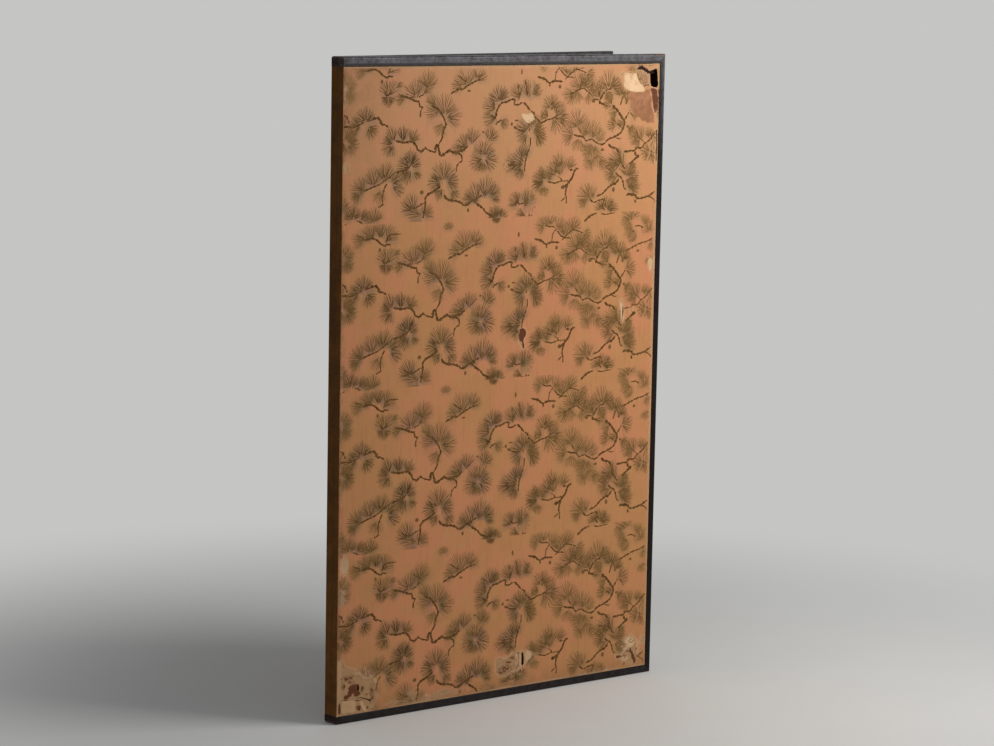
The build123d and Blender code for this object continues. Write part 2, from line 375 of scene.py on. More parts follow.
def flat_sheet(outline, openings, step=mesh_step, fine_boxes=()):
    """Triangles that fill an outline and leave its openings free, as flat points and faces."""
    low, high = np.array(outline).min(0), np.array(outline).max(0)
    grid = grid_over(low[0], high[0], low[1], high[1], step)
    for left, right, bottom, top in fine_boxes:
        beside = (grid[:, 0] < left) | (grid[:, 0] > right) | (grid[:, 1] < bottom) | (grid[:, 1] > top)
        grid = np.vstack([grid[beside], grid_over(left, right, bottom, top, fine_step)])
    grid = grid[inside(grid, outline) & (distance(grid, outline) > clear_of_edge * step)]
    room = clear_of_tear * (fine_step if fine_boxes else step)
    for loop in openings:
        rim = widened(loop, rim_width)
        grid = grid[~inside(grid, loop) & (distance(grid, loop) > room)]
        grid = np.vstack([grid, rim[inside(rim, outline)]])
    points, edges = [], []
    for loop in [outline, *openings]:
        first, count = len(points), len(loop)
        points += [Vector(place) for place in loop]
        edges += [(first + i, first + (i + 1) % count) for i in range(count)]
    points += [Vector(place) for place in grid]
    found = geometry.delaunay_2d_cdt(points, edges, [], 0, 1e-4)
    flat, faces = np.array([tuple(place) for place in found[0]]), np.array(found[2])
    middles = flat[faces].mean(1)
    kept = inside(middles, outline)
    for loop in openings:
        kept &= ~inside(middles, loop)
    used, faces = np.unique(faces[kept], return_inverse=True)
    return flat[used], faces.reshape(-1, 3)


def slab(flat, faces, top, thickness):
    """A closed thin slab: its face at depth top, the other side below, and walls round every edge."""
    count = len(flat)
    upper = np.stack([flat[:, 0], top, flat[:, 1]], 1)
    lower = np.stack([flat[:, 0], top - thickness, flat[:, 1]], 1)
    runs = np.concatenate([faces[:, [0, 1]], faces[:, [1, 2]], faces[:, [2, 0]]])
    seen = {}
    for a, b in runs.tolist():
        key = (min(a, b), max(a, b))
        seen[key] = None if key in seen else (a, b)
    walls = [(b, a, a + count, b + count) for a, b in filter(None, seen.values())]
    return np.vstack([upper, lower]), faces.tolist() + (faces[:, ::-1] + count).tolist() + walls


def on_both_sides(marks):
    """A slab's marks: what its face carries, its other side carries too."""
    return {name: np.tile(values, 2) for name, values in marks.items()}


slow_swell, quick_swell = 0.07, 0.045


def swell(across, up):
    """The slow rise and fall of pasted paper over its core, in millimetres."""
    slow = np.sin(across / 83 + 0.7) * np.sin(up / 121 + 0.4)
    quick = np.sin(across / 39 + up / 57 + 2.1) * np.sin(up / 91 - across / 130)
    return slow_swell * slow + quick_swell * quick


def strongest(spots, flat, power):
    """The strongest of several soft oval marks at each point."""
    found = np.zeros(len(flat))
    for across, up, half_width, half_height, share in spots:
        reach = ((flat[:, 0] - across) / half_width) ** 2 + ((flat[:, 1] - up) / half_height) ** 2
        found = np.maximum(found, share * np.exp(-(reach**power)))
    return found


def make_piece(name, points, faces, material, marks=None, crease=40):
    """A closed mesh from its panel's own points. marks are named values, one for each point."""
    side = name.split("_")[0]
    mesh = bpy.data.meshes.new(name)
    mesh.from_pydata(standing(side, points).tolist(), [], faces)
    for mark, values in (marks or {}).items():
        layer = mesh.attributes.new(mark, "FLOAT", "POINT")
        layer.data.foreach_set("value", np.asarray(values, np.float32))
    shape = bmesh.new()
    shape.from_mesh(mesh)
    if shape.calc_volume(signed=True) < 0:
        mesh.flip_normals()
    shape.free()
    mesh.materials.append(material)
    mesh.shade_smooth()
    mesh.set_sharp_from_angle(angle=math.radians(crease))
    piece = bpy.data.objects.new(name, mesh)
    bpy.context.scene.collection.objects.link(piece)
    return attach(piece, f"{side}_panel")


def mark_on(material, name):
    """A named value that the mesh carries, such as how worn it is at each point."""
    return shader_node(material, "ShaderNodeAttribute", attribute_name=name).outputs["Fac"]


# Handmade paper is cloudy, with crossing fibres and brown spots of foxing. Where it lies bare it
# has browned in patches and specks, and stains have soaked into it with ragged edges. The same
# dark tone also paints shadows under lifted paper.
pale_kozo, cream_kozo = (0.70, 0.47, 0.275, 1), (0.58, 0.385, 0.22, 1)
tan_kozo, brown_kozo = (0.44, 0.258, 0.128, 1), (0.25, 0.137, 0.064, 1)
foxing_tone, patch_tone = (0.20, 0.10, 0.045, 1), (0.40, 0.225, 0.125, 1)
speck_tone, soil_and_shadow_tone = (0.13, 0.062, 0.03, 1), (0.115, 0.040, 0.018, 1)
kozo, kozo_body = new_material("kozo_paper", 0.92, 0.06)
kozo_where = object_place(kozo)
kozo_cloud = grain_noise(kozo, kozo_where, 14.0, 5.0, 0.6)
kozo_fibres = grain_noise(kozo, object_place(kozo, (1, 1, 0.25)), 900.0, 3.0, 0.6)
foxing = grain_noise(kozo, kozo_where, 95.0, 2.0, 0.5)
old_cloud = grain_noise(kozo, kozo_where, 75.0, 5.0, 0.7)
patches = grain_noise(kozo, kozo_where, 42.0, 5.0, 0.7)
specks = grain_noise(kozo, kozo_where, 520.0, 3.0, 0.7)
flecks = grain_noise(kozo, kozo_where, 190.0, 6.0, 0.72)
browned, soil_and_shadow_share = mark_on(kozo, "browned"), mark_on(kozo, "soil_and_shadow")
ragged_soil_and_shadow = calculate(kozo, "ADD", soil_and_shadow_share, calculate(kozo, "MULTIPLY", flecks, 1.3))
ragged_soil_and_shadow = ease(kozo, ragged_soil_and_shadow, 0.84, 1.16)
kozo_tone = layered(
    kozo,
    pale_kozo,
    (ease(kozo, kozo_cloud, 0.32, 0.68), cream_kozo),
    (ease(kozo, foxing, 0.66, 0.76, 0.5), foxing_tone),
    (browned, two_tones(kozo, old_cloud, tan_kozo, brown_kozo)),
    (ease(kozo, patches, 0.5, 0.66, 0.6), patch_tone),
    (calculate(kozo, "MULTIPLY", ease(kozo, specks, 0.6, 0.7, 0.55), browned), speck_tone),
    (calculate(kozo, "MULTIPLY", ragged_soil_and_shadow, ease(kozo, soil_and_shadow_share, 0.02, 0.12), True), soil_and_shadow_tone),
)
surface(kozo, kozo_body, kozo_tone, ease(kozo, kozo_fibres, 0.2, 1.2, 0.95), kozo_fibres, 0.00012)

# Places where it is torn through: how ragged, the seed, and the outline.
through_tears = {"right": [(0.9, 11, oval(402, 512, 8, 11)), (0.8, 12, oval(905, 96, 9, 6))]}
through_tears["left"] = [
    (0.4, 1, [(861, 1493), (863, 1497), (867, 1499), (871, 1501), (876, 1501), (880, 1498), (885, 1496),
        (889, 1493), (894, 1492), (898, 1488), (903, 1489), (906, 1491), (912, 1492), (918, 1495),
        (923, 1494), (925, 1485), (926, 1470), (928, 1458), (928, 1450), (924, 1447), (914, 1449),
        (906, 1453), (903, 1461), (902, 1470), (902, 1480), (898, 1484), (893, 1484), (889, 1488),
        (884, 1489), (879, 1492), (873, 1494), (866, 1493.5)]),
    (0.4, 4, [(539, 98), (542, 101), (546, 99), (548, 86), (547, 72), (544, 69), (540, 72), (541, 80),
        (539, 90)]),
    (0.3, 5, [(528, 103), (538, 103), (543, 102), (538, 99.5), (530, 100)]),
    (0.3, 8, [(925, 1343), (927, 1343), (928, 1310), (926, 1284), (924, 1300)]),
    (0.3, 9, [(49, 58), (70, 56), (85, 51), (97, 47), (98, 42), (95, 37), (93, 38), (95, 43), (84, 49),
        (69, 54)]),
    (0.4, 10, [(59, 86), (62, 86), (64, 78), (62, 70), (58, 74)]),
]
# Stains and painted shadows on it: across, up, half width, half height, and how dark.
soil_and_shadow_spots = {"right": [(402, 512, 14, 18, 0.6), (905, 96, 16, 10, 0.6), (60, 40, 30, 12, 0.5)]}
# Of these, the thin lines at (851, 1440) and (889, 1457) are painted shadows under the pale and brown
# scraps, (64, 30) is the painted shadow beside the curled scrap, and (870, 1498) and (891, 1490) are painted
# shade under the lifted paper along the top of the corner tear.
soil_and_shadow_spots["left"] = [
    (46, 78, 14, 13, 0.85), (60, 81, 4, 7, 1.2), (58, 66, 9, 5, 1.2), (38, 70, 6, 8, 1.1),
    (28, 62, 8, 6, 0.9), (22, 54, 12, 2.5, 0.7), (9, 36, 3.5, 14, 1.0), (40, 96, 18, 5, 0.4),
    (14, 100, 7, 22, 0.25), (72, 76, 6, 10, 0.5), (64, 30, 4.5, 5.5, 1.0), (88, 30, 5, 4, 0.6),
    (32, 106, 26, 10, 0.4), (20, 88, 9, 9, 0.45), (100, 60, 10, 30, 0.4), (60, 34, 30, 9, 0.42),
    (55, 50, 26, 2, 0.6), (84, 62, 5, 3, 0.4), (919, 1414, 18, 44, 0.62), (917, 1441, 14, 8, 1.2),
    (898, 1490, 6, 8, 0.6), (851, 1440, 34, 3, 1.0), (889, 1457, 9, 2, 0.6), (870, 1498, 14, 6, 1.2),
    (891, 1490, 8, 8, 1.2), (884, 62, 3, 6, 1.1), (889, 54, 3, 6, 1.2), (893, 45, 4, 7, 1.3),
    (898, 35, 3.5, 7, 1.1), (875, 61, 7, 2, 0.8), (846, 50, 9, 3, 1.3), (866, 48, 10, 8, 0.38),
    (903, 62, 2, 9, 0.7), (886, 86, 15, 10, 0.34), (858, 88, 5, 3, 0.5), (884, 90, 5, 3, 0.4),
    (490, 68, 28, 15, 0.42), (500, 82, 14, 4, 0.5), (478, 60, 10, 6, 0.5), (514, 92, 12, 5, 0.5),
    (527, 80, 5, 18, 0.55), (546, 60, 4, 5, 0.8), (537, 56, 4, 6, 1.0), (529, 46, 4, 3, 1.0),
    (926, 1310, 3, 40, 1.3), (525, 875, 11, 13, 1.8), (522, 862, 6, 6, 1.2), (528, 852, 3, 14, 1.6),
    (833, 908, 1.6, 20, 1.0),
]
# Places where it is still pale: across, up, half width, half height, and how pale.
pale_spots = {"right": [(402, 512, 30, 30, 0.6)]}
pale_spots["left"] = [
    (846, 1463, 34, 30, 1.0), (527, 1383, 26, 22, 1.0), (832, 908, 22, 34, 0.9), (560, 90, 14, 16, 0.45),
    (881, 84, 17, 14, 0.85), (866, 44, 12, 8, 0.6), (918, 1018, 14, 26, 0.6),
]
# Where it shows, its mesh is fine enough for its stains: left, right, bottom, top.
bared_boxes = {"right": [(385, 420, 490, 535), (885, 925, 80, 112), (22, 98, 36, 68)]}
bared_boxes["left"] = [
    (2, 120, 21, 155), (455, 580, 42, 112), (850, 930, 22, 106), (800, 930, 1380, 1505),
    (505, 548, 1362, 1400), (506, 542, 836, 890), (820, 865, 882, 940), (910, 930, 1000, 1040),
    (910, 930, 1266, 1350), (2, 40, 275, 400), (2, 28, 1262, 1295),
]
fold_gap, shadow_gap, swell_room = 0.3, 0.9, 0.03
cut_bite, cut_run = 0.25, 9.0
rim_band, rim_age, bared_age = 14, 0.8, 0.95
pale_power, soil_and_shadow_power = 3, 1.1
paper_share = 0.7
for side in sides:
    node = f"{side}_back_underpaper"
    low, high = own_box(node)
    left, right = low[0] + fold_gap, high[0] - shadow_gap
    bottom, top = low[2] + shadow_gap, high[2] - shadow_gap
    corners = [(left, bottom), (right, bottom), (right, top), (left, top)]
    outline = ragged(corners, cut_bite, 20 + sides[side], cut_run)
    tears = torn_all_round(through_tears[side])
    flat, faces = flat_sheet(outline, tears, hidden_step, bared_boxes[side])
    across, up = flat[:, 0], flat[:, 1]
    depth = high[1] - swell_room + swell(across, up)
    to_edge = np.minimum(across - left, np.minimum(right - across, np.minimum(up - bottom, top - up)))
    pale = strongest(pale_spots[side], flat, pale_power)
    age = np.where(to_edge < rim_band, rim_age, bared_age) * (1 - pale)
    soil_and_shadow = strongest(soil_and_shadow_spots[side], flat, soil_and_shadow_power)
    marks = on_both_sides({"soil_and_shadow": soil_and_shadow, "browned": age})
    points, faces = slab(flat, faces, depth, paper_share * (high[1] - low[1]))
    paper = make_piece(f"{side}_back_underpaper_torn", points, faces, kozo, marks)
    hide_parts(node)
    dress(f"{side}_front_underpaper", kozo)

# ---- Rotted hollow in the left core ----
# Behind the largest tear the cedar of the left free stile has rotted. It is eaten away from its
# back inwards, in a hollow that narrows as it goes down. Its inside is painted near black as shade.
hollow_shade, hollow_shade_body = new_material("shaded_hollow_cedar", 0.95, 0.1)
hollow_shade_grain = grain_noise(hollow_shade, object_place(hollow_shade, (1, 1, 0.3)), 420.0)
# Painted shade: near-black tones, so that the hollow reads as deep shadow.
hollow_shade_tone = two_tones(hollow_shade, hollow_shade_grain, (0.010, 0.004, 0.003, 1), (0.030, 0.012, 0.008, 1))
surface(hollow_shade, hollow_shade_body, hollow_shade_tone, None, hollow_shade_grain, 0.0008)
hollow_mouth = [(904, 1487), (912, 1490), (918, 1495), (923, 1494), (925, 1485), (926, 1470), (928, 1458)]
hollow_mouth += [(928, 1450), (924, 1447), (914, 1449), (906, 1453), (903, 1461), (902, 1476)]
# Its levels: how wide each is against the mouth, and how high against the stile's back face.
hollow_levels = [(1, 1), (0.95, -6), (0.7, -16)]
past_inner_side, left_at_free_side = 6, 3
weld_gap, plane_gap = 0.002, 0.001


def fine_copy(node, spacing):
    """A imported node's points and faces, cut by planes every so many millimetres each way."""
    shape = bmesh.new()
    shape.from_mesh(frame["nodes"][node].data)
    for corner, point in zip(shape.verts, own_points(node)):
        corner.co = point
    bmesh.ops.remove_doubles(shape, verts=shape.verts, dist=weld_gap)
    low, high = own_box(node)
    for way, gap in enumerate(spacing):
        cuts = int((high[way] - low[way]) // gap) if gap else 0
        for cut in range(1, cuts + 1):
            there = [0, 0, 0]
            there[way] = low[way] + (high[way] - low[way]) * cut / (cuts + 1)
            normal = [float(way == 0), float(way == 1), float(way == 2)]
            everything = shape.verts[:] + shape.edges[:] + shape.faces[:]
            bmesh.ops.bisect_plane(shape, geom=everything, dist=plane_gap, plane_co=there, plane_no=normal)
    shape.verts.ensure_lookup_table()
    points = np.array([v.co for v in shape.verts])
    faces = [[v.index for v in f.verts] for f in shape.faces]
    shape.free()
    return points, faces


stile_low, stile_high = own_box("left_core_free_stile")
mouth = np.array(ragged(hollow_mouth, 0.4, 31))
mouth[:, 0] = np.clip(mouth[:, 0], stile_low[0] - past_inner_side, stile_high[0] - left_at_free_side)
middle = mouth.mean(0)
ring = len(mouth)
hollow_points = []
for width, height in hollow_levels:
    for across, up in middle + (mouth - middle) * width:
        hollow_points.append((across, stile_high[1] + height, up))
hollow_faces = [list(range(ring)), list(range(3 * ring - 1, 2 * ring - 1, -1))]
for level in (0, ring):
    for i in range(ring):
        j = (i + 1) % ring
        hollow_faces.append([level + i, level + j, level + ring + j, level + ring + i])
cutter = make_piece("left_cutter", hollow_points, hollow_faces, hollow_shade)
stile_points, stile_faces = fine_copy("left_core_free_stile", (0, 0, 60))
rotted_stile = make_piece("left_core_free_stile_rotted", stile_points, stile_faces, cedar_upright)
eaten = rotted_stile.modifiers.new("eaten", "BOOLEAN")
eaten.object = cutter
eaten.operation = "DIFFERENCE"
eaten.solver = "EXACT"
eaten.material_mode = "TRANSFER"
bpy.context.view_layer.update()
graph = bpy.context.evaluated_depsgraph_get()
rotted_mesh = bpy.data.meshes.new_from_object(rotted_stile.evaluated_get(graph), depsgraph=graph)
rotted_stile.modifiers.clear()
rotted_stile.data = rotted_mesh
bpy.data.objects.remove(cutter)
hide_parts("left_core_free_stile")

# ---- Paper hinges ----
# Strips of strong dark paper pass between the panels, alternately from front to back and from
# back to front, and are pasted down on the fold edges and round onto both faces.
dark_stain, brown_stain = (0.11, 0.042, 0.009, 1), (0.18, 0.070, 0.013, 1)
stain_fibre = (0.035, 0.015, 0.006, 1)
pale_strip, tan_strip = (0.42, 0.295, 0.18, 1), (0.31, 0.21, 0.125, 1)
hinge_paper, hinge_body = new_material("hinge_paper", 0.8, 0.1)
hinge_cloud = grain_noise(hinge_paper, object_place(hinge_paper), 22.0, 5.0, 0.65)
hinge_fibres = grain_noise(hinge_paper, object_place(hinge_paper, (1, 1, 0.08)), 700.0, 4.0, 0.7)
clouded = ease(hinge_paper, hinge_cloud, 0.3, 0.7)
fibred = ease(hinge_paper, hinge_fibres, 0.52, 0.75, 0.7)
stain = layered(hinge_paper, dark_stain, (clouded, brown_stain), (fibred, stain_fibre))
clean = two_tones(hinge_paper, hinge_cloud, pale_strip, tan_strip)
hinge_tone = two_tones(hinge_paper, mark_on(hinge_paper, "stained"), clean, stain)
surface(hinge_paper, hinge_body, hinge_tone, None, hinge_fibres, 0.0003)


def rough_wave(points, seed):
    """A small uneven lift for pasted or lacquered work, between -1 and 1."""
    a, d, u = points.T
    slow = np.sin(u / 31 + seed) * np.sin(a / 17 + d / 9 + 2 * seed)
    quick = np.sin(u / 7.3 + 3 * seed) * np.sin(a / 5.1 + d / 4.3 + seed)
    return 0.6 * slow + 0.4 * quick


fold_side, pasted_down, paper_lift = 3, 0.6, 0.06
for side in sides:
    for index, part in enumerate(("hinge_leaves", "hinge_tabs", "fold_edge_strips")):
        node = f"{side}_{part}"
        points, faces = fine_copy(node, (0, 4, 9))
        stained = (points[:, 0] < fold_side).astype(float)
        lift = paper_lift * rough_wave(points, index + 1.7)
        points[:, 0] += lift * (points[:, 0] > pasted_down) * (points[:, 0] < fold_side)
        paper = make_piece(f"{node}_pasted", points, faces, hinge_paper, {"stained": stained}, 60)
        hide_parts(node)

# ---- Front ground ----
# The front is papered with squares of beaten gold leaf, laid edge over edge and rubbed with age.
# The paste under the leaf shows brown where it is rubbed through.
leaf_square = 0.109
leaf_starts = {"Y": 1.09, "Z": 1.108}
deep_gold, pale_gold, double_gold = (0.60, 0.40, 0.13, 1), (0.50, 0.315, 0.09, 1), (0.70, 0.49, 0.19, 1)
rubbed_paste = (0.22, 0.085, 0.035, 1)
gold, gold_body = new_material("leafed_paper", 0.42, 0.5)
gold_body.inputs["Metallic"].default_value = 0.85
gold_where = shader_node(gold, "ShaderNodeTexCoord").outputs["Object"]
gold_ways = shader_node(gold, "ShaderNodeSeparateXYZ", {0: gold_where}).outputs
leaf_edges, leaf_cells = [], []
for way, start in leaf_starts.items():
    counted = calculate(gold, "DIVIDE", calculate(gold, "ADD", gold_ways[way], start), leaf_square)
    leaf_edges.append(ease(gold, calculate(gold, "FRACT", counted), 0.965, 0.975))
    leaf_cells.append(calculate(gold, "FLOOR", counted))
leaf_laps = calculate(gold, "MAXIMUM", *leaf_edges)
cell = shader_node(gold, "ShaderNodeCombineXYZ", {0: leaf_cells[0], 1: leaf_cells[1]}).outputs[0]
cell_tone = shader_node(gold, "ShaderNodeTexWhiteNoise", {"Vector": cell}, noise_dimensions="3D")
leaf_rubs = grain_noise(gold, gold_where, 38.0, 7.0, 0.68)
leaf_pits = grain_noise(gold, gold_where, 300.0, 3.0, 0.6)
leaf_tone = layered(
    gold,
    deep_gold,
    (cell_tone.outputs["Value"], pale_gold),
    (leaf_laps, double_gold),
    (ease(gold, leaf_rubs, 0.60, 0.72, 0.85), rubbed_paste),
)
leaf_height = calculate(gold, "ADD", leaf_laps, leaf_pits)
surface(gold, gold_body, leaf_tone, ease(gold, leaf_pits, -0.4, 1.1, 0.8), leaf_height, 0.00006)
for side in sides:
    dress(f"{side}_front_ground", gold)

# ---- Front borders ----
# Narrow strips of plain dark silk are pasted flat round the leafed ground. They run out under the
# lacquered frame.
dark_silk, green_silk, worn_silk = (0.030, 0.045, 0.032, 1), (0.060, 0.072, 0.045, 1), (0.13, 0.12, 0.07, 1)
silk, silk_body = new_material("border_silk", 0.6, 0.4)
silk_body.inputs["Sheen Weight"].default_value = 0.35
silk_body.inputs["Sheen Roughness"].default_value = 0.4
silk_where = shader_node(silk, "ShaderNodeTexCoord").outputs["Object"]
thread = {"Vector": silk_where, "Scale": 420.0, "Distortion": 0.6, "Detail": 1.0, "Detail Scale": 3.0}
warp, weft = (shader_node(silk, "ShaderNodeTexWave", thread, bands_direction=way) for way in "YZ")
weave = calculate(silk, "MULTIPLY", warp.outputs["Fac"], weft.outputs["Fac"])
silk_cloud = grain_noise(silk, silk_where, 30.0)
woven = ease(silk, weave, 0.2, 0.8, 0.5)
silk_tone = layered(silk, dark_silk, (silk_cloud, green_silk), (woven, worn_silk))
surface(silk, silk_body, silk_tone, None, weave, 0.00012)
silk_lift = 0.03
for side in sides:
    for part in ("bottom", "top", "fold", "free"):
        node = f"{side}_front_border_{part}"
        low, high = own_box(node)
        points, faces = fine_copy(node, (12, 0, 12))
        points[:, 1] += silk_lift * rough_wave(points, 0.9)
        strip = make_piece(f"{node}_silk", points, faces, silk)
        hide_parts(node)
        size = sorted(((high[0] - low[0]) * mm, (high[2] - low[2]) * mm))

# ---- Printed back sheets ----
# Each back is papered with eight sheets of terracotta paper, pasted edge over edge in four rows
# and two columns. Each is printed from a block, first with a soft grey-green wash for every tuft
# of pine. The left back is the more torn, rubbed and browned.
lap, lap_rise = 6.0, 0.07
sheet_boxes = {}
for side in sides:
    for row in (1, 2, 3, 4):
        for column in "ab":
            sheet_boxes[side, row, column] = own_box(f"{side}_back_sheet_{row}{column}")
paper_face = sheet_boxes["left", 1, "a"][1][1] - swell_room
# Places where they are torn away: how ragged, the seed, and the outline.
left_patches = [
    (0.5, 41, [(821, 1480), (836, 1484), (848, 1483), (860, 1485), (868, 1486), (880, 1483), (888, 1480),
        (891, 1474), (893, 1466), (889, 1460), (880, 1456), (882, 1447), (878, 1442), (862, 1441),
        (846, 1443), (834, 1446), (822, 1453), (820, 1466)]),
    (0.5, 42, [(858, 1492), (860, 1497), (864, 1499), (867, 1503), (872, 1502), (876, 1504), (880, 1500),
        (885, 1499), (888, 1496), (893, 1495), (896, 1491), (901, 1490), (904, 1494), (909, 1492),
        (912, 1496), (918, 1495), (921, 1498), (926, 1496), (927, 1488), (928, 1478), (926, 1470),
        (928, 1460), (927, 1455), (924, 1448.6), (918, 1450), (912, 1449.6), (908, 1452), (904, 1452),
        (903, 1458), (901, 1462), (902, 1470), (899, 1476), (901, 1482), (897, 1483), (893, 1482),
        (890, 1486), (885, 1487), (882, 1490), (877, 1491), (873, 1493), (868, 1492), (864, 1494)]),
    (0.5, 71, [(904, 1447), (913, 1448), (924, 1445), (929, 1420), (928, 1398), (924, 1389), (919, 1388),
        (914, 1401), (911, 1418), (909, 1430)]),
    (0.3, 66, [(806, 1477), (811, 1483), (815, 1487), (818, 1485), (813, 1479)]),
    (0.4, 44, [(515, 1384), (516, 1390), (526, 1391), (538, 1391), (541, 1386), (542, 1381), (532, 1375),
        (524, 1376)]),
    (0.5, 45, [(515, 886), (524, 888), (532, 884), (535, 876), (533, 868), (529, 864), (527, 858),
        (530, 848), (530, 839), (526, 839), (520, 848), (516, 855), (511, 860), (511, 868), (514, 875)]),
    (0.3, 46, [(924, 1347), (928, 1347), (929, 1272), (926, 1270), (924, 1300), (923, 1325)]),
    (0.4, 47, [(823, 937), (827, 938), (831, 928), (836, 912), (837, 894), (834, 884), (830, 890),
        (828, 906), (825, 922)]),
    (0.3, 49, [(858, 918), (861, 917), (861, 905), (858, 906)]),
    (0.6, 50, [(909, 1034), (922, 1036), (926, 1020), (918, 1003), (914, 1008), (911, 1020)]),
    (0.6, 51, [(4, 1288), (11, 1290), (17, 1283), (15, 1272), (8, 1270), (4, 1276)]),
    (0.8, 53, [(5, 312), (14, 309), (17, 293), (13, 278), (5, 280)]),
    (1.3, 54, [(1, 150), (14, 148), (20, 142), (22, 134), (34, 128), (46, 124), (52, 112), (64, 108),
        (72, 100), (86, 98), (98, 101), (104, 94), (110, 80), (108, 66), (114, 54), (110, 40), (104, 30),
        (92, 24), (66, 22.5), (40, 23), (20, 22), (2, 22)]),
    (1.4, 55, [(462, 92), (474, 97), (488, 90), (498, 94), (512, 102), (524, 104), (532, 104), (532.5, 96),
        (531.5, 84), (532.5, 70), (528, 62), (516, 60), (502, 56), (488, 51), (476, 51), (466, 60),
        (462, 74)]),
    (0.4, 74, [(537, 100), (540, 103), (546, 101), (549, 96), (549, 84), (548, 72), (544, 67), (540, 68),
        (537, 76), (538, 88)]),
    (0.7, 67, [(553, 104), (562, 105), (571, 101), (573, 92), (568, 84), (560, 78), (553, 75)]),
    (0.7, 56, [(864, 94), (868, 97), (871, 94), (875, 100), (880, 98), (884, 101), (888, 96), (893, 97),
        (896, 90), (902, 86), (899, 80), (904, 76), (900, 70), (905, 64), (901, 57), (906, 50), (902, 42),
        (904, 34), (898, 27), (892, 31), (886, 26), (880, 33), (872, 31), (866, 37), (859, 35), (856, 44),
        (852, 50), (857, 56), (863, 60), (868, 66), (876, 68), (873, 74), (880, 79), (872, 80), (866, 84),
        (869, 89)]),
    (0.5, 68, [(838, 54), (853, 55), (854, 51), (846, 47), (838, 47)]),
    (0.6, 69, [(917, 92), (925, 94), (927, 84), (923, 76), (917, 80)]),
    (0.5, 70, [(532, 60), (538, 61), (541, 57), (537, 50), (533, 51)]),
    (0.3, 57, oval(692, 1396, 2.6, 1.4)),
    (0.3, 58, oval(466, 1272, 1.6, 2.6)),
    (0.6, 59, oval(214, 45, 14, 3)),
    (0.7, 60, oval(310, 37, 19, 3.4)),
]
right_patches = [
    (1.3, 61, oval(402, 512, 13, 17)),
    (1.3, 62, oval(905, 96, 17, 12)),
    (1.3, 63, oval(60, 52, 34, 14)),
    (1.0, 64, oval(16, 1410, 9, 22)),
    (0.5, 65, oval(707, 1130, 3, 9)),
]
torn_patches = {"left": torn_all_round(left_patches), "right": torn_all_round(right_patches)}
# A place where the printed face has come off with a layer of the paper.
left_skinned = [
    (1.2, 72, [(838, 1439), (884, 1441), (903, 1447), (908, 1428), (911, 1400), (916, 1384), (921, 1368),
        (905, 1362), (888, 1368), (872, 1376), (858, 1380), (846, 1392), (841, 1412)]),
]
skinned_patches = {"left": torn_all_round(left_skinned), "right": []}
# Rubbed and faded places: across, up, half width, half height, and how bare.
rubbed_places = {}
rubbed_places["left"] = [
    (60, 80, 82, 66, 0.62), (20, 330, 22, 80, 0.45), (17, 372, 16, 30, 0.85), (880, 66, 48, 46, 0.66),
    (520, 78, 66, 32, 0.6), (250, 30, 200, 16, 0.55), (760, 25, 160, 7, 0.5), (880, 1450, 55, 70, 0.35),
    (480, 1503, 420, 6, 0.6), (928, 760, 5, 700, 0.6), (6, 700, 6, 640, 0.5), (28, 1349, 30, 14, 0.35),
    (828, 910, 22, 30, 0.4), (918, 1018, 14, 28, 0.45), (12, 1280, 14, 18, 0.3), (8, 1452, 10, 48, 0.75),
]
rubbed_places["right"] = [
    (60, 52, 70, 30, 0.7), (402, 512, 26, 30, 0.5), (905, 96, 36, 26, 0.6), (927, 700, 6, 800, 0.6),
    (480, 28, 480, 9, 0.6), (16, 1400, 22, 50, 0.5), (8, 700, 8, 800, 0.4),
]


def hump(gap, reach):
    """1 where the gap is nothing, falling smoothly away over the reach."""
    return np.exp(-((gap / reach) ** 2))


# How far a torn edge lifts, how much that changes along it, and how far in it curls and frays.
edge_lift, lift_change, curl_reach, fray_reach = 0.16, 0.14, 3.5, 2.6


def torn_edges(side, flat):
    """How far the torn edges have lifted, in millimetres, and how frayed each point is."""
    curl, fray = np.zeros(len(flat)), np.zeros(len(flat))
    for number, loop in enumerate(torn_patches[side]):
        gap = distance(flat, loop)
        out = flat - np.array(loop).mean(0)
        bearing = np.arctan2(out[:, 1], out[:, 0])
        lift = edge_lift + lift_change * np.sin(3 * bearing + number)
        curl = np.maximum(curl, lift * hump(gap, curl_reach))
        fray = np.maximum(fray, hump(gap, fray_reach))
    return curl, fray


def lapped(start, places):
    """How high a sheet has climbed onto the one that it laps, from 0 to 1."""
    return np.clip((start + 3 * lap - places) / (2 * lap), 0, 1)


def sheet_depth(side, row, column, flat):
    """The depth of a pasted sheet's face: the paper's swell, its laps and its lifted torn edges."""
    low = sheet_boxes[side, row, column][0]
    rise = lap_rise * (row > 1) * lapped(low[2], flat[:, 1])
    rise = np.maximum(rise, lap_rise * (column == "b") * lapped(low[0], flat[:, 0]))
    return paper_face + swell(flat[:, 0], flat[:, 1]) + rise + torn_edges(side, flat)[0]


worn_step, worn_jitter = 4.0, 0.25
long_wear, short_wear = 37, 13


def worn_run(start, end, inward, least, most, seed):
    """One edge of a sheet, from start to end, worn back by between least and most."""
    pick = random.Random(seed)
    length = math.hypot(end[0] - start[0], end[1] - start[1])
    cuts = round(length / worn_step)
    phase = pick.uniform(0, 6)
    run = []
    for cut in range(cuts):
        share = cut / cuts
        slow = 0.5 + 0.3 * math.sin(share * length / long_wear + phase)
        slow += 0.2 * math.sin(share * length / short_wear + 2 * phase)
        back = least + (most - least) * min(1, max(0, slow + pick.uniform(-worn_jitter, worn_jitter)))
        across = start[0] + (end[0] - start[0]) * share + inward[0] * back
        run.append((across, start[1] + (end[1] - start[1]) * share + inward[1] * back))
    return run


fold_trim = 0.25
inward_ways = [(0, 1), (-1, 0), (0, -1), (1, 0)]


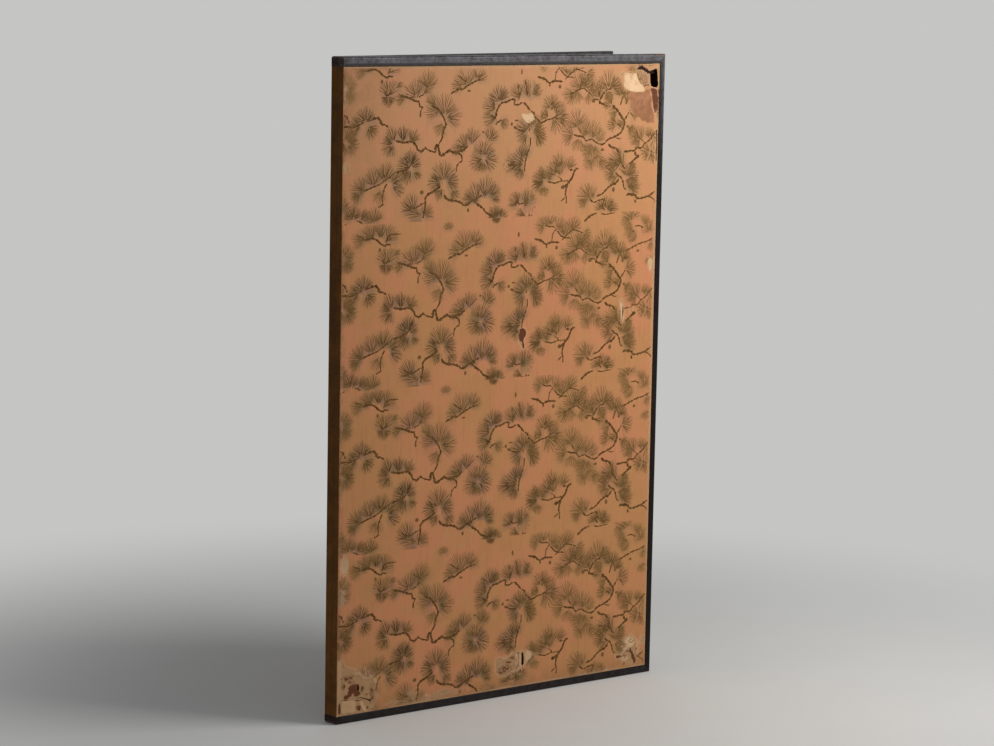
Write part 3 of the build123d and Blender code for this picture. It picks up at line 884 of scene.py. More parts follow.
def sheet_outline(side, row, column):
    """A sheet's edge, from its corner low on the fold side: bottom, free side, top and fold side."""
    low, high = sheet_boxes[side, row, column]
    first, last = low[0] + fold_trim, high[0] + (lap if column == "a" else -shadow_gap)
    bottom, top = low[2] + (shadow_gap if row == 1 else 0), high[2] + (-shadow_gap if row == 4 else lap)
    corners = [(first, bottom), (last, bottom), (last, top), (first, top), (first, bottom)]
    least_most = [
        (1.0, 5.0) if row == 1 else (0.0, 0.5),
        (2.0, 6.0) if column == "b" else (0.0, 0.2),
        (1.0, 3.6) if row == 4 else (0.0, 0.2),
        (0.0, 1.2) if column == "a" else (0.0, 0.4),
    ]
    seed = 100 * row + 10 * (column == "b") + sides[side] + 1
    outline = []
    for edge in range(4):
        start, end = corners[edge : edge + 2]
        outline += worn_run(start, end, inward_ways[edge], *least_most[edge], seed + edge)
    return outline


# One block prints one whole sheet, and the narrow sheets of the left back come from a second
# block, cut after the first.
bloom = 1.12
block_width = sheet_boxes["left", 1, "a"][1][0] - sheet_boxes["left", 1, "a"][0][0]
block_height = sheet_boxes["left", 2, "a"][1][2] - sheet_boxes["left", 2, "a"][0][2]
# Sprays of needles, in millimetres across and down the block: where, the way they face in
# degrees, their spread, their reach, and how faded.
first_sprays = [
    (84, 34, 125, 120, 36, 0.15), (108, 34, 90, 70, 40, 0.1), (124, 42, 50, 90, 40, 0.2),
    (62, 36, 185, 90, 34, 0.5), (126, 92, 92, 130, 38, 0.25), (124, 94, 268, 170, 24, 0.2),
    (146, 74, 30, 60, 20, 0.5), (172, 98, 190, 80, 30, 0.4), (203, 98, 112, 130, 44, 0.15),
    (234, 76, 85, 130, 40, 0.35), (222, 90, 40, 60, 36, 0.5), (283, 140, 92, 130, 50, 0.25),
    (290, 146, 5, 90, 44, 0.2), (272, 132, 172, 80, 46, 0.35), (280, 156, 240, 90, 36, 0.6),
    (258, 118, 130, 60, 36, 0.5), (64, 152, 95, 150, 36, 0.0), (70, 160, 310, 110, 32, 0.15),
    (48, 158, 185, 120, 32, 0.2), (12, 194, 60, 130, 34, 0.15), (14, 198, 330, 120, 32, 0.2),
    (6, 200, 262, 80, 26, 0.4), (142, 196, 118, 90, 36, 0.1), (140, 202, 205, 140, 34, 0.1),
    (166, 196, 88, 80, 36, 0.0), (190, 200, 62, 90, 32, 0.2), (186, 256, 178, 130, 38, 0.05),
    (190, 250, 95, 100, 36, 0.0), (192, 254, 30, 80, 28, 0.15), (190, 262, 235, 80, 36, 0.1),
    (196, 268, 335, 60, 26, 0.3), (350, 215, 135, 90, 38, 0.15), (364, 208, 85, 90, 38, 0.15),
    (340, 218, 185, 60, 36, 0.35), (398, 236, 88, 130, 40, 0.1), (402, 242, 350, 110, 40, 0.05),
    (396, 244, 195, 100, 40, 0.1), (398, 248, 265, 90, 26, 0.35), (414, 200, 65, 120, 34, 0.15),
    (62, 308, 150, 110, 40, 0.1), (88, 296, 100, 110, 42, 0.05), (118, 286, 85, 100, 44, 0.0),
    (136, 290, 30, 90, 34, 0.15), (138, 298, 335, 60, 36, 0.2), (108, 304, 250, 90, 34, 0.55),
    (50, 312, 215, 80, 30, 0.35), (284, 288, 92, 150, 44, 0.1), (276, 292, 190, 110, 38, 0.1),
    (294, 292, 355, 100, 34, 0.15), (306, 312, 310, 90, 30, 0.3), (280, 306, 238, 70, 30, 0.3),
    (200, 356, 128, 110, 42, 0.15), (222, 366, 165, 60, 46, 0.15), (228, 372, 55, 110, 34, 0.25),
    (224, 380, 200, 60, 40, 0.3), (384, 342, 118, 80, 48, 0.1), (404, 332, 82, 90, 50, 0.0),
    (418, 330, 35, 70, 38, 0.1), (424, 336, 350, 50, 26, 0.25), (372, 340, 160, 60, 36, 0.25),
    (438, 380, 110, 140, 30, 0.05), (446, 382, 20, 110, 28, 0.1), (434, 390, 220, 100, 24, 0.3),
    (350, 70, 112, 130, 46, 0.4), (374, 62, 58, 100, 38, 0.35), (334, 76, 175, 80, 34, 0.5),
    (300, 24, 90, 120, 22, 0.75), (444, 112, 112, 110, 42, 0.05), (434, 126, 160, 90, 42, 0.1),
    (434, 146, 190, 70, 40, 0.15), (446, 154, 330, 90, 28, 0.45), (446, 108, 55, 70, 32, 0.15),
    (503, 104, 118, 90, 38, 0.25), (526, 104, 78, 100, 46, 0.1), (540, 96, 35, 80, 32, 0.2),
    (528, 178, 170, 90, 40, 0.2), (532, 168, 105, 80, 34, 0.25), (542, 180, 350, 90, 30, 0.35),
    (526, 188, 225, 80, 32, 0.35), (518, 254, 165, 120, 42, 0.0), (500, 256, 185, 80, 42, 0.05),
    (520, 244, 95, 90, 36, 0.1), (514, 264, 235, 90, 32, 0.15), (504, 354, 130, 110, 36, 0.15),
    (530, 352, 80, 110, 38, 0.1), (520, 358, 20, 80, 36, 0.2), (526, 378, 180, 100, 30, 0.35),
    (440, -4, 270, 150, 17, 0.2), (30, 370, 95, 150, 34, 0.1), (52, 372, 40, 80, 30, 0.2),
    (90, 378, 100, 150, 34, 0.3), (10, 72, 60, 140, 30, 0.3), (8, 88, 320, 90, 28, 0.35),
]
second_sprays = [
    (52, 24, 180, 120, 30, 0.5), (66, 26, 100, 110, 32, 0.35), (88, 36, 60, 90, 34, 0.35),
    (112, 52, 80, 120, 34, 0.35), (134, 40, 70, 120, 36, 0.3), (168, 46, 340, 100, 28, 0.45),
    (154, 84, 120, 140, 42, 0.15), (160, 82, 60, 110, 44, 0.15), (130, 93, 210, 110, 36, 0.3),
    (143, 88, 265, 100, 32, 0.45), (186, 98, 75, 110, 42, 0.25), (176, 92, 280, 90, 28, 0.45),
    (211, 108, 110, 100, 42, 0.3), (238, 86, 95, 150, 46, 0.1), (248, 84, 30, 100, 36, 0.2),
    (232, 90, 300, 100, 28, 0.35), (250, 124, 150, 120, 30, 0.35), (268, 140, 195, 90, 32, 0.4),
    (280, 104, 95, 140, 36, 0.1), (294, 118, 60, 120, 32, 0.15), (304, 141, 10, 120, 34, 0.2),
    (290, 166, 190, 60, 30, 0.5), (265, 170, 170, 120, 30, 0.25), (300, 178, 335, 90, 26, 0.3),
    (147, 174, 110, 140, 44, 0.3), (134, 192, 175, 120, 40, 0.2), (163, 198, 80, 100, 44, 0.35),
    (189, 204, 85, 110, 46, 0.35), (205, 212, 60, 80, 36, 0.5), (150, 200, 260, 100, 34, 0.55),
    (196, 216, 250, 140, 40, 0.35), (190, 228, 200, 90, 36, 0.4), (205, 238, 280, 110, 36, 0.4),
    (192, 252, 230, 90, 32, 0.5), (212, 256, 330, 90, 32, 0.45), (335, 204, 165, 120, 34, 0.3),
    (346, 209, 120, 90, 36, 0.35), (340, 206, 230, 70, 26, 0.4), (372, 209, 95, 90, 30, 0.35),
    (372, 240, 175, 120, 30, 0.35), (378, 238, 300, 120, 30, 0.3), (386, 200, 270, 60, 40, 0.5),
    (283, 262, 160, 130, 46, 0.05), (272, 257, 200, 60, 40, 0.1), (291, 270, 120, 60, 38, 0.2),
    (312, 262, 300, 90, 24, 0.3), (264, 286, 165, 110, 40, 0.1), (272, 292, 215, 60, 34, 0.3),
    (298, 296, 80, 120, 36, 0.15), (304, 296, 10, 90, 36, 0.15), (296, 304, 340, 80, 40, 0.2),
    (309, 322, 10, 110, 38, 0.1), (300, 316, 350, 60, 40, 0.3), (48, 298, 165, 110, 38, 0.0),
    (44, 300, 205, 80, 36, 0.05), (52, 296, 130, 60, 36, 0.1), (87, 286, 140, 90, 42, 0.0),
    (98, 270, 120, 80, 40, 0.15), (95, 290, 95, 80, 40, 0.2), (121, 276, 80, 100, 34, 0.35),
    (66, 302, 110, 60, 36, 0.15), (46, 312, 270, 120, 24, 0.4), (186, 345, 150, 130, 42, 0.25),
    (196, 350, 110, 90, 40, 0.4), (178, 348, 215, 70, 28, 0.4), (237, 374, 80, 150, 32, 0.05),
    (244, 374, 15, 90, 34, 0.1), (230, 372, 160, 60, 30, 0.3), (320, 18, 100, 170, 36, 0.3),
    (326, 49, 170, 120, 32, 0.5), (338, 70, 150, 100, 30, 0.5), (379, 54, 90, 170, 34, 0.4),
    (382, 74, 300, 120, 28, 0.55), (380, 110, 280, 120, 26, 0.6), (356, 34, 60, 100, 28, 0.5),
    (318, 22, 200, 90, 32, 0.5), (64, 130, 90, 160, 36, 0.1), (80, 146, 60, 110, 36, 0.1),
    (70, 150, 310, 110, 40, 0.2), (56, 150, 150, 90, 30, 0.3), (88, 150, 340, 90, 34, 0.25),
    (12, 172, 60, 120, 30, 0.2), (16, 186, 0, 120, 36, 0.1), (20, 192, 320, 100, 32, 0.2),
    (6, 178, 120, 60, 28, 0.3),
]
# What each block prints, and how strong its wash is.
pine_blocks = {
    "first": {"sprays": first_sprays, "wash": 1.06},
    "second": {"sprays": second_sprays, "wash": 0.6},
}


def block_runs(side, column):
    """Which block prints each repeat that reaches a sheet, from the fold to the free side."""
    after = "second" if side == "left" else "first"
    if column == "a":
        return [(-1, "first"), (0, "first"), (1, after)]
    return [(0, "first"), (1, after), (2, "first")]


def block_to_panel(side, row, repeat, places):
    """Places on the block, put on the back of a panel. Both backs read the same way round."""
    low, high = sheet_boxes[side, row, "a"]
    block_top = max(high[2], low[2] + block_height) if row > 1 else high[2]
    places = np.asarray(places, float)
    if side == "left":
        run = repeat * block_width + places[:, 0]
    else:
        run = (repeat + 1) * block_width - places[:, 0]
    return np.stack([low[0] + run, block_top - places[:, 1]], 1)


def falling(value, low, high):
    """1 up to low, then smoothly down to 0 at high."""
    share = np.clip((value - low) / (high - low), 0, 1)
    return 1 - share * share * (3 - 2 * share)


# A tuft's wash, in shares of its reach: full out to here, gone by here, and looked for up to here.
wash_full, wash_gone, wash_within = 0.45, 1.08, 1.3
# It spills a few degrees past the tuft's spread, and much further close to its foot.
wash_spill, foot_spill, foot_size = 16, 400, 6
# It is denser round its foot, and a faded tuft has less.
wash_even, wash_foot, foot_reach, faded_loss, wash_most = 0.31, 0.2, 0.5, 0.55, 0.75
# Every third tuft has a dab of green near its foot. Each tuft is a little cooler or warmer.
dab_every, dab_middle, dab_reach, dab_spread, dab_share = 3, 7, 9, (60, 110), 0.3
cool_turn = 0.37


def wash_over(side, row, column, flat):
    """How much of the tufts' soft wash lies at each point of a sheet, how cool and how green it is."""
    clear, cool, green = np.ones(len(flat)), np.zeros(len(flat)), np.zeros(len(flat))
    for repeat, block in block_runs(side, column):
        sprays, strength = pine_blocks[block]["sprays"], pine_blocks[block]["wash"]
        roots = block_to_panel(side, row, repeat, [spray[:2] for spray in sprays])
        for number, (root, spray) in enumerate(zip(roots, sprays)):
            facing, spread, reach, faded = spray[2:]
            near = np.hypot(*(flat - root).T) < wash_within * reach * bloom
            apart = flat[near] - root
            gap = np.hypot(*apart.T)
            bearing = np.degrees(np.arctan2(apart[:, 1], apart[:, 0] if side == "left" else -apart[:, 0]))
            turned = np.abs((bearing - facing + 180) % 360 - 180)
            share = falling(gap, wash_full * reach * bloom, wash_gone * reach * bloom)
            turned_in = turned - foot_spill / np.maximum(gap, foot_size)
            share = share * falling(turned_in, spread / 2, spread / 2 + wash_spill)
            density = wash_even + wash_foot * hump(gap, foot_reach * reach)
            share = share * density * (1 - faded_loss * faded) * strength
            cool[near] = np.maximum(cool[near], share * (number * cool_turn % 1))
            dab = hump(gap - dab_middle, dab_reach) * (number % dab_every == 0)
            dab = dab * (1 - faded) * falling(turned, *dab_spread)
            green[near] = np.maximum(green[near], dab)
            clear[near] *= 1 - np.minimum(wash_most, share + dab_share * dab)
    return 1 - clear, cool, green


def in_any(loops, flat):
    """Which points lie in one of the loops."""
    found = np.zeros(len(flat), bool)
    for loop in loops:
        found |= inside(flat, loop)
    return found


# The paper's own tones, the wash over them, what wear has done to both, and painted light high up.
terracotta, salmon = (0.430, 0.200, 0.080, 1), (0.485, 0.200, 0.094, 1)
ochre, umber, line_brown = (0.440, 0.226, 0.085, 1), (0.315, 0.13, 0.052, 1), (0.30, 0.12, 0.05, 1)
olive_wash, mauve_wash = (0.122, 0.101, 0.056, 1), (0.148, 0.100, 0.096, 1)
green_dab = (0.085, 0.092, 0.036, 1)
rubbed_light, rubbed_dark, frayed = (0.54, 0.36, 0.215, 1), (0.40, 0.235, 0.125, 1), (0.52, 0.34, 0.20, 1)
painted_light_tone, grime_and_shade_tone = (0.56, 0.31, 0.175, 1), (0.15, 0.07, 0.032, 1)
skinned_dark, skinned_light = (0.235, 0.100, 0.046, 1), (0.335, 0.150, 0.078, 1)
printed, printed_body = new_material("pine_printed_paper", 0.9, 0.12)
print_where = object_place(printed)
height = shader_node(printed, "ShaderNodeSeparateXYZ", {0: print_where}).outputs["Z"]
slow_cloud = grain_noise(printed, print_where, 7.0, 4.0, 0.6)
quick_cloud = grain_noise(printed, print_where, 34.0, 5.0, 0.62)
flaking = grain_noise(printed, print_where, 120.0, 6.0, 0.72)
brushed = grain_noise(printed, object_place(printed, (1, 1, 0.1)), 120.0, 4.0, 0.65)
laid_lines = grain_noise(printed, object_place(printed, (1, 1, 0.16)), 520.0, 4.0, 0.7)
fibre_flecks = grain_noise(printed, object_place(printed, (1, 1, 2.2)), 1100.0, 2.0, 0.6)


def share_of(mark, factor, clamp=False):
    """How much of something shows: the sheet's own mark for it, times a factor."""
    return calculate(printed, "MULTIPLY", mark_on(printed, mark), factor, clamp)


wash_tone = layered(
    printed,
    olive_wash,
    (ease(printed, mark_on(printed, "cool"), 0.12, 0.42), mauve_wash),
    (share_of("green", 0.85, True), green_dab),
)
flaked = calculate(printed, "ADD", mark_on(printed, "bare"), calculate(printed, "MULTIPLY", flaking, 1.1))
rubbed_tone = two_tones(printed, quick_cloud, rubbed_light, rubbed_dark)
skin_tone = two_tones(printed, ease(printed, quick_cloud, 0.4, 0.6), skinned_dark, skinned_light)
paper_tone = layered(
    printed,
    terracotta,
    (ease(printed, slow_cloud, 0.4, 0.6), salmon),
    (ease(printed, quick_cloud, 0.46, 0.66, 0.5), ochre),
    (ease(printed, brushed, 0.5, 0.78, 0.42), umber),
    (ease(printed, laid_lines, 0.5, 0.85, 0.3), line_brown),
    (share_of("wash", ease(printed, brushed, -0.15, 0.6, 0.98), True), wash_tone),
    (ease(printed, flaked, 0.92, 1.22), rubbed_tone),
    (share_of("fray", 0.5), frayed),
    # Painted light: the paper is painted paler higher up.
    (ease(printed, height, 0.95, 1.55, 0.3), painted_light_tone),
    # Soot, and painted shade down the fold side.
    (share_of("grime_and_shade", ease(printed, quick_cloud, 0.2, 0.7), True), grime_and_shade_tone),
    (share_of("skin", 0.92), skin_tone),
)
surface(printed, printed_body, paper_tone, ease(printed, fibre_flecks, -1.2, 1.2, 0.95), laid_lines, 0.00013)

# The sheets take up soot near the fold, near the floor and round the rotted corner. A broad band
# down the fold side, darker high up, is painted shade in the same tone.
fold_soot, fold_soot_reach = 0.55, 9
floor_soot, floor_soot_up, floor_soot_reach = 0.4, 18, 30
side_shade, side_shade_reach = 0.1, 120
high_shade, high_shade_from, high_shade_over = 0.3, 1150, 300
rot_soot, rot_soot_reach, rot_soot_flat = 0.4, 34, 0.6
rotted_place = (880, 1490)
tear_room, rub_power = 1.5, 1.5
sheet_thickness = 0.2
outlines = {}
for side, row, column in sheet_boxes:
    outline = sheet_outline(side, row, column)
    outlines[side, row, column] = outline
    low, high = np.array(outline).min(0), np.array(outline).max(0)
    openings = []
    for loop in torn_patches[side]:
        middle = np.array(loop).mean(0)
        if (middle > low).all() and (middle < high).all():
            within = np.clip(loop, low + tear_room, high - tear_room)
            openings.append([tuple(place) for place in within])
    flat, faces = flat_sheet(outline, openings)
    across, up = flat[:, 0], flat[:, 1]
    grime_and_shade = fold_soot * hump(across, fold_soot_reach)
    grime_and_shade = grime_and_shade + floor_soot * hump(up - floor_soot_up, floor_soot_reach)
    higher = np.clip((up - high_shade_from) / high_shade_over, 0, 1)
    grime_and_shade += (side_shade + high_shade * higher) * hump(across, side_shade_reach)
    if side == "left":
        to_rot = np.hypot(across - rotted_place[0], rot_soot_flat * (up - rotted_place[1]))
        grime_and_shade += rot_soot * hump(to_rot, rot_soot_reach)
    wash, cool, green = wash_over(side, row, column, flat)
    skin = in_any(skinned_patches[side], flat)
    wash[skin] = green[skin] = 0
    marks = {"wash": wash, "cool": cool, "green": green, "grime_and_shade": grime_and_shade, "skin": skin}
    marks["bare"] = strongest(rubbed_places[side], flat, rub_power)
    marks["fray"] = torn_edges(side, flat)[1]
    points, faces = slab(flat, faces, sheet_depth(side, row, column, flat), sheet_thickness)
    name = f"{side}_printed_sheet_{row}{column}"
    sheet = make_piece(name, points, faces, printed, on_both_sides(marks))
    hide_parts(f"{side}_back_sheet_{row}{column}")

# ---- Loose scraps ----
# Flakes of the papers have come away with the tears. Each hangs on by its upper edge, and its
# lower edge curls out from the paper under it.
scrap_bite, scrap_run, scrap_step = 0.45, 1.8, 2.0
scrap_gap, scrap_curl, sunk_curl, scrap_thickness = 0.24, 0.26, 0.8, 0.12
scrap_rim, rim_browning = 1.2, 0.35
crimp_across, crimp_up = 0.05, 0.04
# How brown each is, how soiled, how deep in the tear it lies in millimetres, and its outline.
torn_scraps = {
    "left_pale_scrap": (0.0, 0.0, 0.0, [(819, 1481), (822, 1486), (836, 1485), (848, 1483), (855, 1478),
        (860, 1470), (864, 1463), (868, 1458), (876, 1457), (880, 1453), (884, 1448), (886, 1442),
        (878, 1439), (862, 1439), (850, 1440), (842, 1441), (834, 1444), (826, 1448), (820, 1452),
        (817, 1456), (819, 1466)]),
    "left_small_scrap": (0.0, 0.0, 0.0, [(508, 1392), (511, 1394.5), (526, 1393), (539, 1394.5), (544, 1389),
        (548, 1380), (541, 1376), (531, 1371), (524.5, 1372), (518.5, 1376), (512.5, 1383)]),
    "left_corner_scrap": (0.55, 0.1, 0.3, [(13, 54), (21, 55), (30, 53), (41, 54), (52, 51), (55, 43),
        (53, 33), (55, 24), (44, 22), (34, 25), (22, 22.5), (14, 25), (12, 36), (14, 45)]),
    "left_curled_scrap": (0.5, 0.1, 0.3, [(64, 47), (70, 49), (77, 44), (81, 34), (85, 24), (80, 20),
        (75, 23), (71, 33), (66, 40)]),
    "left_middle_scrap": (0.6, 0.2, 0.3, [(518, 99), (524, 101), (530, 99), (531, 86), (530, 72), (524, 68),
        (520, 74), (521, 86)]),
    "left_brown_scrap": (1.0, 0.27, 0.0, [(859, 1486), (866, 1489), (880, 1489), (888, 1484), (893, 1478),
        (896, 1468), (894, 1460), (886, 1457), (880, 1457), (872, 1460), (866, 1467), (861, 1478)]),
}
for number, (name, (age, dirt, sunk, loop)) in enumerate(torn_scraps.items()):
    seed = 81 + number
    outline = ragged(loop, scrap_bite, seed, scrap_run)
    flat, faces = flat_sheet(outline, [], scrap_step)
    across, up = flat[:, 0], flat[:, 1]
    top, bottom = max(place[1] for place in loop), min(place[1] for place in loop)
    hanging = (top - up) / (top - bottom)
    crimp = crimp_across * np.sin(across / 4.1 + seed) + crimp_up * np.sin(up / 3.3)
    curl = (scrap_curl + sunk_curl * sunk) * hanging**2
    depth = paper_face - sunk + swell(across, up) + scrap_gap + curl + crimp
    age = age + np.where(distance(flat, outline) < scrap_rim, rim_browning, 0.0)
    marks = on_both_sides({"browned": np.clip(age, 0, 1), "soil_and_shadow": np.full(len(flat), dirt)})
    points, faces = slab(flat, faces, depth, scrap_thickness)
    scrap = make_piece(name, points, faces, kozo, marks)

# ---- The pine print ----
# Over the wash the block prints fine dark needles and knotted branches. The ink stands on the
# paper in low ridges. It has gone where the paper is torn or skinned, and is pale where it is
# rubbed.
ink_crest, ink_root = 0.06, -0.02
branch_step, branch_wander = 3.0, 0.5
edge_step = 0.6
# Branches: the thickest stroke, then the way it runs, across and down the block.
first_branches = [
    (2.6, [(63, 36), (76, 33), (89, 33), (100, 39), (109, 46), (120, 51), (124, 48), (138, 50)]),
    (1.6, [(121, 44), (126, 36), (133, 27), (148, 25), (166, 26)]),
    (1.6, [(41, 25), (53, 27), (64, 36)]),
    (2.2, [(113, 83), (120, 92), (128, 88), (136, 84)]),
    (2.8, [(155, 92), (177, 96), (190, 101), (200, 105), (209, 107), (213, 117), (219, 119), (216, 129),
        (215, 138)]),
    (1.5, [(209, 96), (222, 90), (230, 80), (236, 68)]),
    (2.6, [(245, 116), (262, 123), (273, 134), (280, 142), (285, 152), (288, 161), (281, 173), (279, 188),
        (273, 198), (266, 210)]),
    (2.2, [(0, 160), (20, 160), (34, 161), (46, 155), (58, 151)]),
    (3.0, [(80, 145), (94, 141), (103, 147), (105, 155), (114, 157), (127, 163)]),
    (2.8, [(145, 194), (160, 197), (173, 198), (192, 197), (204, 206), (209, 216), (222, 219), (229, 213),
        (243, 219), (262, 223)]),
    (3.2, [(262, 223), (259, 211), (266, 208), (270, 222), (275, 231), (290, 225), (299, 219), (308, 224),
        (324, 224), (340, 219), (352, 209)]),
    (2.4, [(320, 226), (333, 231), (336, 244), (323, 253), (320, 270)]),
    (2.2, [(145, 266), (160, 264), (175, 262), (190, 250), (203, 227)]),
    (2.0, [(60, 305), (82, 298), (105, 291), (122, 281), (136, 276)]),
    (2.2, [(123, 290), (114, 308), (111, 325), (112, 338), (99, 344)]),
    (3.0, [(276, 300), (262, 309), (243, 318), (233, 326), (232, 346), (228, 364), (226, 374)]),
    (2.8, [(286, 320), (292, 330), (305, 335), (320, 337), (334, 341), (344, 348), (354, 346), (366, 339),
        (382, 333), (398, 325)]),
    (2.8, [(370, 337), (384, 347), (398, 356), (411, 369), (424, 374), (437, 379), (446, 366)]),
    (1.8, [(40, 371), (52, 376), (64, 386)]),
    (2.0, [(178, 341), (192, 348), (204, 349), (216, 344), (229, 338)]),
    (2.2, [(300, 90), (310, 85), (322, 80), (335, 80), (350, 71), (372, 62), (394, 56)]),
    (1.8, [(320, 49), (334, 56), (350, 66)]),
    (2.6, [(418, 144), (431, 147), (436, 130), (448, 114), (463, 111), (477, 106), (489, 107), (486, 116),
        (500, 118), (512, 113)]),
    (2.6, [(512, 113), (522, 119), (531, 129), (545, 139), (551, 153)]),
    (2.0, [(431, 164), (438, 158), (447, 152)]),
    (2.0, [(485, 169), (500, 176), (513, 179), (524, 176), (530, 168), (537, 160), (552, 158)]),
    (2.4, [(536, 194), (537, 212), (529, 232), (524, 246), (521, 262), (520, 276)]),
    (2.0, [(494, 346), (508, 350), (520, 349), (529, 343)]),
    (2.2, [(514, 374), (524, 380), (536, 381), (548, 378)]),
    (1.8, [(498, 84), (501, 96), (499, 108)]),
    (1.8, [(517, 60), (520, 74), (521, 90)]),
]
second_branches = [
    (2.8, [(20, 54), (37, 58), (47, 63), (56, 69), (62, 67), (73, 64), (86, 65), (97, 66)]),
    (2.6, [(56, 68), (57, 73), (57, 78)]),
    (1.6, [(73, 64), (75, 46), (80, 39), (88, 34)]),
    (2.0, [(88, 37), (97, 46), (104, 52), (112, 54), (132, 57)]),
    (1.8, [(103, 62), (119, 48), (132, 39), (145, 39), (169, 46)]),
    (1.6, [(51, 23), (67, 27), (80, 28), (87, 35)]),
    (2.0, [(119, 96), (130, 93), (143, 87), (154, 84), (161, 81)]),
    (1.8, [(161, 82), (171, 89), (186, 99)]),
    (2.0, [(190, 109), (200, 109), (211, 111)]),
    (3.0, [(212, 110), (212, 118), (224, 122), (236, 126)]),
    (2.2, [(211, 111), (220, 100), (232, 88), (248, 84)]),
    (1.8, [(209, 87), (210, 98), (212, 109)]),
    (3.0, [(250, 124), (265, 135), (278, 150), (288, 162), (290, 170), (283, 185), (276, 192), (259, 200),
        (241, 205), (228, 215), (217, 220)]),
    (2.0, [(288, 162), (294, 154), (304, 141)]),
    (2.0, [(265, 170), (278, 174), (283, 183)]),
    (2.0, [(275, 125), (279, 114), (280, 104)]),
    (1.4, [(261, 201), (274, 205), (283, 203)]),
    (2.2, [(132, 192), (145, 195), (163, 198), (171, 207), (189, 204), (198, 210), (213, 216), (224, 215)]),
    (1.6, [(147, 173), (151, 181), (154, 189)]),
    (3.2, [(240, 216), (250, 224), (265, 228), (272, 235), (276, 239)]),
    (2.4, [(288, 237), (307, 235), (324, 234), (330, 228), (346, 228), (356, 218), (372, 209), (389, 193),
        (394, 189)]),
    (1.8, [(335, 204), (346, 209), (356, 218)]),
    (3.0, [(324, 235), (329, 246), (337, 248), (326, 254), (315, 263), (307, 267)]),
    (2.8, [(272, 257), (280, 261), (289, 272), (296, 278)]),
    (2.4, [(264, 285), (274, 293), (283, 298), (289, 309), (293, 324), (300, 328)]),
    (2.8, [(278, 300), (267, 311), (254, 315), (239, 324), (226, 335), (207, 341)]),
    (2.8, [(301, 343), (309, 339), (328, 342), (335, 350), (350, 350), (370, 346), (387, 338), (398, 334)]),
    (2.8, [(329, 351), (330, 356), (330, 362)]),
    (1.6, [(370, 346), (385, 352), (399, 367)]),
    (1.8, [(185, 346), (192, 351), (202, 355), (217, 350), (232, 350), (226, 366), (237, 376)]),
    (3.4, [(97, 317), (113, 312), (121, 304), (132, 293), (137, 280), (143, 274), (151, 272)]),
    (3.0, [(121, 275), (127, 275), (134, 277)]),
    (1.8, [(56, 301), (80, 305), (97, 301), (121, 301)]),
    (1.6, [(87, 288), (97, 296), (102, 301)]),
    (2.4, [(121, 304), (113, 322), (112, 333), (115, 341), (114, 356)]),
    (1.6, [(112, 339), (105, 344), (97, 350)]),
    (3.0, [(171, 20), (182, 11), (195, 4), (210, 1)]),
    (1.6, [(222, 2), (237, 4), (250, 3), (267, 2)]),
    (2.0, [(303, 96), (324, 88), (348, 79), (370, 75), (389, 67)]),
    (1.8, [(330, 37), (346, 36), (357, 43)]),
    (2.4, [(20, 150), (30, 161), (40, 160), (52, 155), (67, 152), (86, 143)]),
]
# Knots, buds and cones: across, down, half width, half height.
first_knots = [
    (222, 314, 6.0, 5.6), (106, 60, 4.2, 5.5), (106, 151, 3.8, 3.8), (215, 138, 3.2, 5.0),
    (259, 214, 3.6, 4.4), (396, 180, 3.6, 3.2), (356, 360, 4.2, 5.6), (353, 84, 6.0, 3.0),
    (480, 163, 3.8, 5.2), (494, 155, 6.6, 2.6), (507, 42, 3.4, 7.6), (498, 76, 3.2, 7.0),
    (447, 154, 3.8, 3.2), (218, 222, 3.2, 2.8), (533, 178, 3.4, 4.6), (300, 222, 3.2, 2.8),
    (520, 70, 2.6, 5.0), (318, 228, 3.2, 3.6),
]
second_knots = [
    (88, 78, 5, 5.6), (192, 113, 6.4, 5.6), (300, 176, 5, 4), (223, 230, 6, 4), (260, 327, 5, 7),
    (342, 97, 5, 4), (326, 49, 4, 4), (320, 18, 3.4, 3.6), (382, 72, 5, 4), (154, 71, 3, 6),
    (294, 119, 4, 4.6), (283, 106, 3, 5), (337, 203, 5, 3), (36, 146, 3, 6), (65, 129, 4, 4),
    (170, 187, 4, 5), (309, 321, 5, 4), (187, 75, 3, 7), (377, 238, 3.4, 4.4), (367, 197, 2.6, 3.6),
    (192, 190, 4, 5),
]
# What else each block prints, how much paler its needles are, and the seed of its strokes.
pine_blocks["first"].update(branches=first_branches, knots=first_knots, paler=0, seed=7)
pine_blocks["second"].update(branches=second_branches, knots=second_knots, paler=0.12, seed=8)
green_ink, pale_green_ink = (0.058, 0.0285, 0.0068, 1), (0.108, 0.0565, 0.016, 1)
brown_ink, pale_brown_ink = (0.066, 0.030, 0.009, 1), (0.150, 0.077, 0.027, 1)
faded_ink = (0.24, 0.130, 0.048, 1)
ink, ink_body = new_material("pine_ink", 0.9, 0.05)
ink_cloud = ease(ink, grain_noise(ink, object_place(ink), 110.0, 5.0, 0.65), 0.3, 0.7)
needle_tone = two_tones(ink, ink_cloud, green_ink, pale_green_ink)
branch_tone = two_tones(ink, ink_cloud, brown_ink, pale_brown_ink)
ink_tone = two_tones(ink, mark_on(ink, "woody"), needle_tone, branch_tone)
ink_tone = two_tones(ink, mark_on(ink, "faded"), ink_tone, faded_ink)
surface(ink, ink_body, ink_tone, None, ink_cloud, 0.00003)


